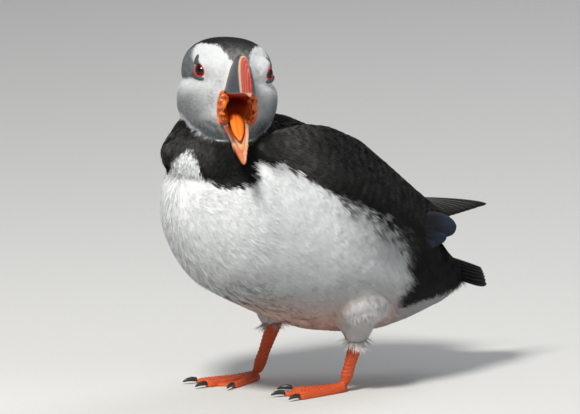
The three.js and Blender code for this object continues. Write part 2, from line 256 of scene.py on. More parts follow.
def applied(piece):
    """The piece with its modifiers made part of its mesh."""
    graph = bpy.context.evaluated_depsgraph_get()
    mesh = bpy.data.meshes.new_from_object(piece.evaluated_get(graph))
    mesh.name = piece.name
    old = piece.data
    piece.modifiers.clear()
    piece.data = mesh
    bpy.data.meshes.remove(old)
    return piece


def remeshed(name, mesh, voxel):
    """A piece of even quads of so many millimetres, over one or more closed forms that may overlap."""
    piece = new_object(name, mesh)
    even = piece.modifiers.new("even", "REMESH")
    even.mode = "VOXEL"
    even.voxel_size = voxel * MM
    applied(piece)
    piece.data.polygons.foreach_set("use_smooth", [True] * len(piece.data.polygons))
    return piece


def smoothed_node(name, nodes, voxel, rounds, swell=0.0):
    """A fine smooth piece in the place of one or more solids."""
    piece = remeshed(name, merged_copy(*nodes, swell=swell * MM), voxel)
    move_corners(piece.data, relax(corners_of(piece.data), edges_of(piece.data), 0.5, rounds))
    return piece


def store(mesh, name, values, kind="FLOAT", domain="POINT"):
    field = {"FLOAT": "value", "FLOAT_VECTOR": "vector", "FLOAT2": "vector"}[kind]
    attribute = mesh.attributes.get(name) or mesh.attributes.new(name, kind, domain)
    attribute.data.foreach_set(field, np.asarray(values, np.float32).ravel())


def dress(piece, finish, slot, *replaced):
    """Gives a finished piece its material, hangs it under the root and hides the solids it replaces; slot is not used.
    """
    piece.data.materials.clear()
    piece.data.materials.append(finish)
    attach(piece, "root")
    if replaced:
        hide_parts(*replaced)
    return piece


# ---- Node trees ---------------------------------------------------------------------------------
class Wire:
    """An output socket whose sums are written as Python's."""

    def __init__(self, graph, socket):
        self.graph = graph
        self.socket = socket

    def out(self, name):
        return Wire(self.graph, self.socket.node.outputs[name])

    def _with(self, operation, *operands):
        return self.graph.maths(operation, *operands)

    def __add__(self, other):
        return self._with("ADD", self, other)

    def __radd__(self, other):
        return self._with("ADD", other, self)

    def __sub__(self, other):
        return self._with("SUBTRACT", self, other)

    def __rsub__(self, other):
        return self._with("SUBTRACT", other, self)

    def __mul__(self, other):
        return self._with("MULTIPLY", self, other)

    def __rmul__(self, other):
        return self._with("MULTIPLY", other, self)

    def __truediv__(self, other):
        return self._with("DIVIDE", self, other)

    def __rtruediv__(self, other):
        return self._with("DIVIDE", other, self)

    def __pow__(self, other):
        return self._with("POWER", self, other)


class Graph:
    """A node tree, shader or geometry, that is written a node or a sum at a time."""

    def __init__(self, tree):
        self.tree = tree
        tree.nodes.clear()

    def node(self, kind, settings=None, **inputs):
        """Adds a node: its settings first, then its sockets by name or identifier, _ for a space."""
        made = self.tree.nodes.new(kind)
        for name, value in (settings or {}).items():
            if name == "stops":
                self._stops(made.color_ramp, value)
            else:
                setattr(made, name, value)
        for name, value in inputs.items():
            self.plug(made, name, value)
        shown = [s for s in made.outputs if not s.is_unavailable]
        return Wire(self, shown[0]) if shown else made

    def plug(self, node, name, value):
        names = (name, name.replace("_", " "))
        open_sockets = [s for s in node.inputs if not s.is_unavailable]
        socket = next(s for s in open_sockets if s.name in names or s.identifier in names)
        self.feed(socket, value)

    def feed(self, socket, value):
        if isinstance(value, Wire):
            self.tree.links.new(value.socket, socket)
        elif value is not None:
            socket.default_value = value

    def _stops(self, ramp_settings, stops):
        elements = ramp_settings.elements
        while len(elements) < len(stops):
            elements.new(1.0)
        for element, (place, colour) in zip(elements, stops):
            element.position = place
            element.color = (*colour, 1.0)

    def maths(self, operation, *operands, clamp=False):
        made = self.tree.nodes.new("ShaderNodeMath")
        made.operation = operation
        made.use_clamp = clamp
        for socket, value in zip(made.inputs, operands):
            self.feed(socket, value)
        return Wire(self, made.outputs[0])

    def vector(self, operation, *operands, scale=None):
        made = self.tree.nodes.new("ShaderNodeVectorMath")
        made.operation = operation
        for socket, value in zip(made.inputs, operands):
            self.feed(socket, value)
        if scale is not None:
            self.plug(made, "Scale", scale)
        shown = [s for s in made.outputs if not s.is_unavailable]
        return Wire(self, shown[0])

    def blend(self, share, first, second):
        """A colour between two, by share."""
        made = self.tree.nodes.new("ShaderNodeMix")
        made.data_type = "RGBA"
        for name, value in (("Factor_Float", share), ("A_Color", first), ("B_Color", second)):
            socket = next(s for s in made.inputs if s.identifier == name)
            self.feed(socket, value if isinstance(value, (Wire, float, int)) else (*value, 1.0))
        return Wire(self, next(s for s in made.outputs if s.identifier == "Result_Color"))

    def step(self, low, high, value):
        """Smoothly from 0 at low to 1 at high."""
        return self.node(
            "ShaderNodeMapRange",
            {"interpolation_type": "SMOOTHSTEP"},
            Value=value, From_Min=low, From_Max=high, To_Min=0.0, To_Max=1.0,
        )

    def field(self, name):
        """A number stored on the surface."""
        return self.node("ShaderNodeAttribute", {"attribute_name": name}).out("Fac")

    def place(self, scale=1.0):
        """The point's own place, in metres times scale."""
        where = self.node("ShaderNodeTexCoord").out("Object")
        return self.vector("SCALE", where, scale=scale)

    def noise(self, size, detail=3.0, where=None, roughness=0.5):
        """Cloudy noise whose blotches are about size millimetres across."""
        return self.node(
            "ShaderNodeTexNoise",
            Vector=where or self.place(),
            Scale=1 / (size * MM), Detail=detail, Roughness=roughness,
        )


class Finish(Graph):
    """A procedural material round one Principled shader."""

    def __init__(self, name):
        self.material = bpy.data.materials.new(name)
        self.material.use_nodes = True
        super().__init__(self.material.node_tree)
        self.shader = self.tree.nodes.new("ShaderNodeBsdfPrincipled")
        output = self.tree.nodes.new("ShaderNodeOutputMaterial")
        self.tree.links.new(self.shader.outputs[0], output.inputs["Surface"])

    def set(self, **sockets):
        for name, value in sockets.items():
            self.feed(self.shader.inputs[name.replace("_", " ")], value)

    def bump(self, height, depth, strength=1.0):
        """Raises the surface by height times depth millimetres."""
        made = self.node("ShaderNodeBump", Height=height, Distance=depth * MM, Strength=strength)
        self.set(Normal=made)


# ---- Sizes and colours a user would change ------------------------------------------------------
def colour(name, default, description):
    return FloatVectorProperty(
        name=name, description=description, default=default, subtype="COLOR", min=0, max=1
    )


def length(name, default, description):
    return FloatProperty(name=name, description=description, default=default, min=0, precision=2)


class PuffinColours(bpy.types.PropertyGroup):
    black: colour("Black", (0.003, 0.003, 0.0034), "Back, wings, tail, collar and cap")
    white: colour("White", (0.69, 0.71, 0.72), "Breast, belly and face")
    grey: colour("Grey", (0.095, 0.106, 0.114), "The shaded parts of the pale face and the flanks")
    # Also the lighter black of painted sheen on the bend of the neck and on the wing's shoulder.
    worn: colour("Worn", (0.175, 0.172, 0.162), "The brownish worn black of the forehead and collar")
    # Mostly painted light reflected from the orange legs, with some real soiling.
    warm: colour("Warm", (0.86, 0.47, 0.33), "The reddish tint between the legs")
    slate: colour("Slate", (0.026, 0.033, 0.043), "The base of the bill")
    cream: colour("Cream", (0.62, 0.46, 0.29), "The ridges and grooves of the bill")
    red: colour("Red", (0.33, 0.018, 0.010), "The outer bill")
    gape: colour("Gape", (0.66, 0.115, 0.001), "The rosettes and the lining of the mouth")
    palate: colour("Palate", (0.26, 0.012, 0.004), "The roof and depth of the mouth")
    legs: colour("Legs", (0.44, 0.036, 0.003), "Shanks, toes and webs")
    eye_ring: colour("Eye ring", (0.42, 0.010, 0.006), "The bare ring round the eye")


class PuffinCoat(bpy.types.PropertyGroup):
    skin_voxel: length("Skin grain", 1.02, "Size of the skin's faces, in millimetres")
    head_depth: length("Head depth", 0.9, "How deep the face feathers are, in millimetres")
    body_depth: length("Body depth", 2.4, "How deep the body feathers are, in millimetres")
    wing_depth: length("Wing depth", 1.3, "How deep the wing coverts are, in millimetres")
    seed: IntProperty(name="Seed", description="Seed of all that is scattered", default=7, min=0)


class PuffinStage(bpy.types.PropertyGroup):
    azimuth: FloatProperty(
        name="Azimuth", description="The camera's bearing from ahead of the bird, to its left",
        default=math.radians(58), subtype="ANGLE", unit="ROTATION",
    )
    elevation: FloatProperty(
        name="Elevation", description="The camera's height above the level",
        default=math.radians(10), subtype="ANGLE", unit="ROTATION",
    )
    view_width: FloatProperty(
        name="View width", description="Width of the view at the bird", default=0.3132, unit="LENGTH"
    )
    distance: FloatProperty(
        name="Distance", description="From the camera to the bird", default=6.0, unit="LENGTH"
    )


def colours():
    return bpy.context.scene.puffin_colours


def coat():
    return bpy.context.scene.puffin_coat


# ---- Skin ---------------------------------------------------------------------------------------
# Share of each smoothing round by the solid the skin lies on.
SMOOTHING = {"head": 0.1, "neck": 0.5, "trunk": 0.5, "wing": 0.3, "thigh": 0.4}
SMOOTH_ROUNDS = 80
SEAM_FILL = 2.1  # how far the skin is raised where the neck meets the breast
WING_TRIM = 4.0  # how far the folded wing's round end is drawn in under its long feathers
# Lie of the feathers on each solid, in the bird's frame.
TRUNK_LIE = (0, 0.78, -0.62)
NECK_LIE = (0, 0.3, -1)
WING_LIE = (-0.03, 0.9, -0.43)
THIGH_LIE = (0, 0.05, -1)
BREAST_PARTING = 0.7  # how far the breast's feathers turn aside from its middle
FACE_SOURCE = np.array([0.0, -34.0, -12.0])  # the face's feathers lie away from here, in the head's frame
TIP_SHARE = 0.45  # how far along itself a feather is painted by the markings under it
MOUTH_AXIS = (np.array([0.0, 0.0, -16.5]), np.array([0.0, -38.0, -27.0]))


def nearest_distances(points, nodes):
    """Distance in millimetres from each point to the nearest of some solids."""
    meshes = [merged_copy(node) for node in nodes]
    best = np.full(len(points), np.inf)
    for mesh in meshes:
        corners = [v.co.copy() for v in mesh.vertices]
        tree = BVHTree.FromPolygons(corners, [tuple(p.vertices) for p in mesh.polygons])
        found = np.array([tree.find_nearest(Vector(p))[3] for p in points])
        best = np.minimum(best, found / MM)
        bpy.data.meshes.remove(mesh)
    return best


def owners(points):
    """Which solid of flesh each point of the skin lies on, as one share for each kind."""
    distances = np.array([nearest_distances(points, [node]) for node in FLESH])
    nearest = np.argmin(distances, axis=0)
    kinds = [node.split("_")[0] for node in FLESH]
    return {
        kind: np.isin(nearest, [i for i, k in enumerate(kinds) if k == kind]).astype(float)
        for kind in dict.fromkeys(kinds)
    }


def segment_distance(points, ends):
    """Distance from each point to a straight line between two, and the nearest point on it."""
    start, end = ends
    line = end - start
    share = np.clip((points - start) @ line / (line @ line), 0, 1)
    nearest = start + share[:, None] * line
    return np.linalg.norm(points - nearest, axis=1), nearest


def inside_mouth(head, head_normals):
    """1 on the lining of the mouth."""
    distance, nearest = segment_distance(head, MOUTH_AXIS)
    towards = np.sum(unit(nearest - head) * head_normals, axis=1)
    near = ramp(15, 11, distance) * ramp(11, 9, np.abs(head[:, 0] - FACE_ASIDE))
    return near * ramp(0.0, 0.35, towards)


def eye_place(side):
    """The centre of one eye in the head's frame."""
    return EYE_AT * [SIDES[side], 1, 1] + [FACE_ASIDE, 0, 0]


def eye_distance(head):
    """Distance from the nearer eye's centre."""
    gaps = [np.linalg.norm(head - eye_place(side), axis=1) for side in SIDES]
    return np.minimum(*gaps)


def feather_lie(bird, head, normals, share):
    """The direction in which the feathers lie, along the skin."""
    from_face = unit(head - FACE_SOURCE) @ HEAD_TURNED.T
    side = np.sign(bird[:, :1])
    lie = share["head"][:, None] * from_face
    aside = np.clip(bird[:, 0] / 20, -1, 1) * share["trunk"] * ramp(0, -40, bird[:, 1])
    lie = lie + BREAST_PARTING * aside[:, None] * np.array([1, 0, 0])
    for kind, way in (("neck", NECK_LIE), ("trunk", TRUNK_LIE), ("thigh", THIGH_LIE)):
        lie = lie + share[kind][:, None] * unit(np.array([way]))
    wing = np.repeat([WING_LIE], len(bird), axis=0) * np.hstack([side, np.ones((len(bird), 2))])
    lie = along_surface(lie + share["wing"][:, None] * wing, normals)
    x, y, z = bird.T
    wave = np.sin(0.11 * z + 0.07 * y) + np.sin(0.23 * z - 0.13 * y + 0.05 * x + 1.7)
    angle = (1 - share["head"]) * (1 - share["wing"]) * math.radians(7) * wave
    across = np.cross(normals, lie)
    return lie * np.cos(angle)[:, None] + across * np.sin(angle)[:, None]


def markings(bird, head, share):
    """Dark, grey, reddish and worn shares of the plumage, the same for skin and feathers: the grey is partly painted
    shade, the reddish tint is mostly painted light reflected from the legs, and the worn share is partly painted
    sheen.
    """
    collar = ramp(-0.8, 0.8, bird[:, 2] - collar_line(bird)) * (share["neck"] + share["trunk"])
    collar = np.where(bird[:, 1] < 10, collar, 0)
    trunk = share["trunk"] * trunk_dark(bird)
    wing = ramp(0.2, 0.5, share["wing"])
    dark = share["head"] * (1 - face_share(head)) + np.maximum(collar, trunk)
    dark = np.maximum(np.where(bird[:, 1] > -30, dark + share["wing"], dark), wing)
    x, y, z = head.T
    above_crease = ramp(-4.6, -3.4, z)
    temple = ramp(-2, 2, y + 1.5 - 0.7 * (z - 4.8)) * above_crease * 0.92
    crease = line(z, -4.4, 1.3) * ramp(-5, -2, y) * 0.95
    cheek = (0.22 + 0.38 * ramp(-7, -19, z)) * ramp(-6, -14, z) * ramp(-21, -8, y)
    streaks = np.sin(1.3 * x + 1.1 * z + np.sin(0.8 * y)) ** 4
    chin = (0.35 + 0.4 * streaks) * ramp(-22, -29, z) * ramp(19, 12, np.abs(x - FACE_ASIDE))
    rim = ramp(1.2, 3.2, z - chin_line(head))
    grey = share["head"] * np.clip(0.24 + np.maximum.reduce([temple, crease, (cheek + chin) * rim]), 0, 1)
    # Grey on the flank below the wing: painted shadow of the wing, over the real greyish bases of the flank feathers.
    flank = ramp(-14, 22, bird[:, 1] + 0.25 * (bird[:, 2] - 100)) * ramp(58, 96, bird[:, 2]) * 0.68
    # Grey low on the breast and belly: painted shade on the underside.
    low = ramp(88, 42, bird[:, 2]) * 0.66
    grey = grey + (1 - share["head"]) * (1 - 0.45 * share["thigh"]) * np.maximum(flank, low)
    # A reddish tint low between the legs: painted light reflected from the orange legs, with some real soiling.
    warm = ramp(66, 38, bird[:, 2]) * ramp(52, 22, bird[:, 1]) * 0.45
    warm = warm * (share["trunk"] + 0.2 * share["thigh"])
    forehead = share["head"] * ramp(0, -12, y) * (0.3 + 0.7 * ramp(13, 6, z)) * 0.98
    # The bend of the neck below the chin is painted lighter: painted sheen on the black.
    painted_neck_sheen = share["neck"] * line(bird[:, 2], 141, 16) * ramp(-62, -72, bird[:, 1]) * 0.24
    rows = np.sin(2 * math.pi * (0.9 * bird[:, 1] - 0.43 * bird[:, 2]) / 5.5 + np.sin(0.3 * bird[:, 2]))
    # The wing painted lighter towards its front: painted sheen on the shoulder, with soft real rows of coverts.
    front = share["wing"] * (ramp(0, -40, bird[:, 1]) * 0.27 + 0.10 * ramp(0, 1, rows))
    worn = np.clip(0.02 + forehead + painted_neck_sheen + front, 0, 1)
    return {"dark": np.clip(dark, 0, 1), "grey": np.clip(grey, 0, 1), "warm": warm, "worn": worn}


def regions(bird, share, dark, bare):
    """The share of each part of the plumage at each point of the skin."""
    white = 1 - dark
    _, y, z = bird.T
    low, front = ramp(70, 62, z), ramp(-8, -16, y)
    covered = 1 - bare
    trunk = share["trunk"] * covered
    edge = y - np.interp(z, FLANK_EDGE["z"], FLANK_EDGE["y"])
    fringe = ramp(-14, -10, edge) * ramp(-5, -7, edge) * ramp(48, 54, z) * ramp(100, 92, z)
    return {
        "face": share["head"] * covered * (dark < 0.5),
        "cap": share["head"] * covered * (dark >= 0.5),
        "collar": share["neck"],
        "breast": trunk * white * (1 - low) * front,
        "flank": trunk * white * (1 - low) * (1 - front),
        "belly": trunk * white * low,
        "back": trunk * dark,
        "fringe": trunk * fringe,
        "thigh": share["thigh"],
        "wing_left": share["wing"] * (bird[:, 0] > 0),
        "wing_right": share["wing"] * (bird[:, 0] <= 0),
    }


def unwrap(mesh, bird, share):
    """Lays the skin out flat in charts, by the solid and the way that each face looks."""
    corner_vertex = np.empty(len(mesh.loops), np.int32)
    mesh.loops.foreach_get("vertex_index", corner_vertex)
    face_normals = np.empty(len(mesh.polygons) * 3, np.float32)
    mesh.polygons.foreach_get("normal", face_normals)
    face_normals = face_normals.reshape(-1, 3)
    sizes = np.empty(len(mesh.polygons), np.int32)
    mesh.polygons.foreach_get("loop_total", sizes)
    starts = np.concatenate([[0], np.cumsum(sizes)[:-1]])
    group = np.where(share["head"] + share["neck"] > 0.5, 0, np.where(share["trunk"] > 0.5, 1, 2))
    face_group = group[corner_vertex[starts]]
    axis = np.argmax(np.abs(face_normals), axis=1)
    back = face_normals[np.arange(len(axis)), axis] < 0
    chart = np.repeat(face_group * 6 + axis * 2 + back, sizes)
    axis = np.repeat(axis, sizes)
    place = (bird[corner_vertex] - bird.min(axis=0)) / (np.ptp(bird, axis=0).max() * 1.02)
    flat = np.where((axis == 0)[:, None], place[:, [1, 2]], place[:, [0, 2]])
    flat = np.where((axis == 2)[:, None], place[:, [0, 1]], flat)
    columns, rows = 6, 3
    cell = np.column_stack([chart % columns / columns, chart // columns / rows])
    return cell + flat * [1 / columns, 1 / rows]


EYE_LOOK = np.array([0.85, -0.5, 0.1])  # where the left eye looks, in the head's frame
EYEBALL = dict(radius=4.3, set_in=1.0)
# The opening of the lids: half its length and height, its tilt down to the front, and its middle's
# place ahead of the eyeball's and above it.
LIDS = dict(length=3.75, height=2.75, tilt=math.radians(33), at=(-0.2, 0.2))
RING = dict(thin=0.26, thick=0.62, thickest=(-0.45, -0.89), rise=0.2)
LID_REACH = 9.5  # how far from the eye's axis the skin is drawn level with the ring
SOCKET_DEPTH = 0.9  # how far behind the eyeball's front the skin passes


def eye_axes(side):
    """The eye's centre, and its axes forward, up and outward, in the head's frame."""
    sign = SIDES[side]
    outward = EYE_LOOK * [sign, 1, 1]
    outward = outward / np.linalg.norm(outward)
    forward = np.array([0.0, -1.0, 0.0])
    forward = forward - outward * (forward @ outward)
    forward = forward / np.linalg.norm(forward)
    up = np.cross(outward, forward) * sign
    up = up if up[2] > 0 else -up
    return eye_place(side) - outward * EYEBALL["set_in"], forward, up, outward


def opening(turn):
    """How far the lids' edge is from the opening's middle, by the turn from ahead upwards."""
    turned = turn + LIDS["tilt"]
    return 1 / np.hypot(np.cos(turned) / LIDS["length"], np.sin(turned) / LIDS["height"])


def ring_height(turn):
    """How far in front of the eyeball's middle the ring lies."""
    return np.sqrt(EYEBALL["radius"] ** 2 - opening(turn) ** 2) + RING["rise"]


def sink_sockets(points):
    """Draws the skin in behind the eyeballs, inside their rings."""
    head = to_head(points)
    for side in SIDES:
        centre, forward, up, outward = eye_axes(side)
        offset = head - centre
        ahead = offset @ outward
        fore, above = offset @ forward - LIDS["at"][0], offset @ up - LIDS["at"][1]
        turn, across = np.arctan2(above, fore), np.hypot(fore, above)
        edge = opening(turn)
        ball = np.sqrt(np.clip(EYEBALL["radius"] ** 2 - across**2, 0, None))
        floor = ball - SOCKET_DEPTH
        inside = ramp(edge + 0.3, edge - 0.5, across)
        rest = ring_height(turn) - 0.1 - 0.02 * np.clip(across - edge, 0, None) ** 2
        near = ramp(LID_REACH, 4.0, across)
        level = ahead + (rest - ahead) * near
        level = level + (floor - level) * inside
        head = head + ((level - ahead) * ramp(-5.0, -2.0, ahead))[:, None] * outward
    return from_head(head)


def lid_gap(head):
    """How far each point is outside the nearer ring."""
    gaps = []
    for side in SIDES:
        centre, forward, up, outward = eye_axes(side)
        offset = head - centre
        fore, above = offset @ forward - LIDS["at"][0], offset @ up - LIDS["at"][1]
        across = np.hypot(fore, above) - opening(np.arctan2(above, fore)) - 2 * RING["thin"]
        gaps.append(np.where(offset @ outward > -4, across, 99.0))
    return np.minimum(*gaps)


def build_skin():
    """One even skin over the flesh, pressed in by the depth of the plumage."""
    mesh = merged_copy(*FLESH, swell=0.4 * MM)
    sheet = bmesh.new()
    sheet.from_mesh(mesh)
    for side in SIDES:
        eye = Vector(from_head(eye_place(side)))
        bmesh.ops.create_icosphere(
            sheet, subdivisions=3, radius=(EYE_RADIUS - 0.2) * MM, matrix=Matrix.Translation(eye)
        )
    sheet.to_mesh(mesh)
    sheet.free()
    skin = remeshed("skin", mesh, coat().skin_voxel)
    first = corners_of(skin.data)
    edges = edges_of(skin.data)
    share = owners(first)
    names = list(share)
    softened = relax(np.column_stack([share[n] for n in names]), edges, 0.5, 3)
    share = dict(zip(names, softened.T))
    smoothing = sum(SMOOTHING[name] * share[name] for name in names)
    points = relax(first, edges, smoothing, SMOOTH_ROUNDS)
    move_corners(skin.data, points)
    normals = normals_of(skin.data)
    lost = relax(np.sum((first - points) * normals, axis=1)[:, None], edges, 0.5, 60)

    head = to_head(points)
    head_normals = normals @ HEAD_TURNED
    mouth = inside_mouth(head, head_normals) * share["head"]
    near_head = share["head"] > 0.02
    bill_gap = np.full(len(points), 99.0)
    bill_gap[near_head] = nearest_distances(
        points[near_head], ["bill_upper", "bill_lower", "gape_left", "gape_right"]
    )
    eye_gap = eye_distance(head) - EYE_RADIUS
    depths = {
        "head": coat().head_depth, "neck": coat().body_depth * 0.9, "trunk": coat().body_depth,
        "wing": coat().wing_depth, "thigh": coat().body_depth * 0.6,
    }
    depth = relax(sum(depths[n] * share[n] for n in names)[:, None], edges, 0.5, 20)[:, 0]
    depth = depth * ramp(-0.5, 3.5, bill_gap) * ramp(-0.5, 2.5, eye_gap) * (1 - mouth)
    collar = relax(share["neck"][:, None], edges, 0.5, 60)[:, 0]
    depth = depth - SEAM_FILL * 4 * collar * (1 - collar) * ramp(150, 142, to_bird(points)[:, 2])
    lids = 0.6 * np.exp(-(((eye_gap - 1.3) / 1.0) ** 2))
    fold = line(head[:, 2], -4.4, 1.6) * ramp(-6, -2, head[:, 1]) - line(head[:, 2], -8, 6) * ramp(-6, 0, head[:, 1])
    fold = 0.7 * fold * share["head"] * ramp(0.5, 3, eye_gap)
    points = points + normals * (lost - (depth - lids + fold)[:, None] * MM)
    points = sink_sockets(points)
    beyond = share["wing"] * ramp(68, 84, to_bird(points)[:, 1]) * WING_TRIM * MM
    points = points - beyond[:, None] * unit(np.array([[0, 0.9, -0.43]]))
    move_corners(skin.data, points)
    normals = normals_of(skin.data)

    bird, head = to_bird(points), to_head(points)
    roof = ramp(2.4, 1.4, bill_gap) * ramp(7.5, 6.0, np.abs(head[:, 0] - FACE_ASIDE))
    roof = roof * ramp(-8.5, -10.5, head[:, 2]) * ramp(-16.5, -14.5, head[:, 2])
    mouth = np.maximum(mouth, roof * ramp(-10, -12, head[:, 1]))
    lids_off = lid_gap(head)
    bare = np.maximum(mouth, 1 - ramp(0.6, 1.4, bill_gap) * ramp(0.1, 0.5, lids_off))
    lie = relax(feather_lie(bird, head, normals, share), edges, 0.5, 12)
    near_bare = ramp(1, 9, np.minimum(bill_gap, eye_gap + 1))
    short = share["head"] * (0.45 + 0.55 * near_bare) * (0.4 + 0.6 * ramp(0, 3, lids_off))
    lengths = short * 4.2 + share["neck"] * 7.5 + share["trunk"] * 11 + share["wing"] * 7
    lengths = lengths + share["thigh"] * 10
    lengths = lengths * (1 + 0.7 * share["trunk"] * ramp(0, 40, bird[:, 1]) * ramp(50, 70, bird[:, 2]))
    marks = markings(bird, head, share)
    reach = lie * (TIP_SHARE * lengths)[:, None]
    tip_dark = markings(bird + reach, head + reach @ HEAD_TURNED, share)["dark"]
    for name, values in {
        **marks, "tip_dark": tip_dark, "mouth": mouth, "throat": ramp(-16, -21, head[:, 2]), "depth": depth * MM,
        "length": lengths * MM, "along": np.ones(len(points)), "shade": np.full(len(points), 0.5),
        **{"region_" + n: v for n, v in regions(bird, share, tip_dark, bare).items()},
    }.items():
        store(skin.data, name, values)
    store(skin.data, "lie", along_surface(lie, normals), "FLOAT_VECTOR")
    store(skin.data, "outward", unit(relax(normals, edges, 0.5, 3)), "FLOAT_VECTOR")
    store(skin.data, "unwrap", unwrap(skin.data, bird, share), "FLOAT2", "CORNER")
    return skin


def plumage_finish():
    """White, grey, warm and black plumage by the skin's own markings."""
    look = Finish("plumage")
    paint = colours()
    shade, along = look.field("shade"), look.field("along")
    ragged = look.step(0.3, 0.7, look.field("dark") + (shade - 0.5) * 0.7)
    pale = look.blend(look.field("grey") * (0.88 + 0.24 * shade), paint.white, paint.grey)
    # The reddish tint is painted light reflected from the legs, with some real soiling.
    pale = look.blend(look.field("warm"), pale, paint.warm)
    # The worn share is real wear on the forehead and painted sheen on the neck and the wing's shoulder.
    worn = look.field("worn") * (0.45 + 0.9 * shade) + look.step(0.45, 0.8, look.noise(9, 2)) * 0.035
    black = look.blend(worn, paint.black, paint.worn)
    base = look.blend(ragged, pale, black)
    # Each feather darker towards its root: painted shade where the feathers lie over one another; the random tone per
    # feather is real.
    tone = (0.93 - 0.2 * ragged + (0.07 + 0.2 * ragged) * along) * (0.9 + 0.16 * shade)
    base = look.vector("SCALE", base, scale=tone)
    lining = look.blend(look.field("throat"), paint.palate, (0.85, 0.20, 0.02))
    base = look.blend(look.field("mouth"), base, lining)
    look.set(Base_Color=base, Roughness=0.7, Specular_IOR_Level=0.1)
    look.shader.inputs["Sheen Weight"].default_value = 0.02
    return look.material


# ---- Feathers -----------------------------------------------------------------------------------
def feather_mesh(name, points, faces, along, across):
    """A feather lying along +Y, about one unit long and wide, facing +Z."""
    mesh = bpy.data.meshes.new(name)
    mesh.from_pydata([tuple(p) for p in points], [], faces)
    points = np.array(points)
    store(mesh, "along", along)
    store(mesh, "across", across)
    patch = np.column_stack([points[:, 0] + 0.5, points[:, 1], np.zeros(len(points))])
    store(mesh, "patch", np.clip(patch, 0, 1), "FLOAT_VECTOR")
    return new_object(name, mesh)


def tuft(name, strands, joints, slim, splay, seed):
    """A tuft of fine tapering barbs, side by side."""
    chance = np.random.default_rng(seed)
    points, faces, along, across = [], [], [], []
    for strand in range(strands):
        root = (strand + 0.5) / strands - 0.5 + chance.uniform(-0.08, 0.08)
        tip = root * 1.15 + chance.normal(0, splay)
        start, end = chance.uniform(0, 0.22), chance.uniform(0.7, 1)
        first = len(points)
        for joint in range(joints):
            share = joint / joints
            x = root + (tip - root) * share**1.5
            half = slim / 2 * (1 - 0.55 * share**2)
            for side in (-1, 1):
                points.append((x + side * half, start + (end - start) * share, 0))
                along.append(share)
                across.append(side)
        points.append((tip, end, 0))
        along.append(1)
        across.append(0)
        for joint in range(joints - 1):
            low = first + 2 * joint
            faces.append((low, low + 1, low + 3, low + 2))
        last = first + 2 * joints
        faces.append((last - 2, last - 1, last))
    return feather_mesh(name, points, faces, along, across)


def vane(name, rows=7, columns=5):
    """One broad round-ended feather."""
    points, faces, along, across = [], [], [], []
    for row in range(rows):
        share = 1 - math.cos(math.pi / 2 * row / (rows - 1) * 1.0)
        share = math.sin(math.pi / 2 * row / (rows - 1))
        half = 0.5 * math.sqrt(max(0.0, 1 - max(0.0, (share - 0.4) / 0.6) ** 2.2))
        half = max(half, 0.1) * min(1, 0.55 + share)
        for column in range(columns):
            t = 2 * column / (columns - 1) - 1
            points.append((half * t, share - 0.06 * t * t * share, 0))
            along.append(share)
            across.append(t)
    for row in range(rows - 1):
        for column in range(columns - 1):
            low = row * columns + column
            faces.append((low, low + 1, low + columns + 1, low + columns))
    return feather_mesh(name, points, faces, along, across)


PLUMAGE_INPUTS = {
    "Region": "NodeSocketString", "Feather": "NodeSocketObject", "Spacing": "NodeSocketFloat",
    "Width": "NodeSocketFloat", "Length": "NodeSocketFloat", "Sink": "NodeSocketFloat",
    "Lift": "NodeSocketFloat", "Camber": "NodeSocketFloat", "Roll": "NodeSocketFloat",
    "Stray": "NodeSocketFloat", "Seed": "NodeSocketInt", "Finish": "NodeSocketMaterial",
}
PATCH = 0.003  # how far across a feather's own patch is on the unwrapped skin


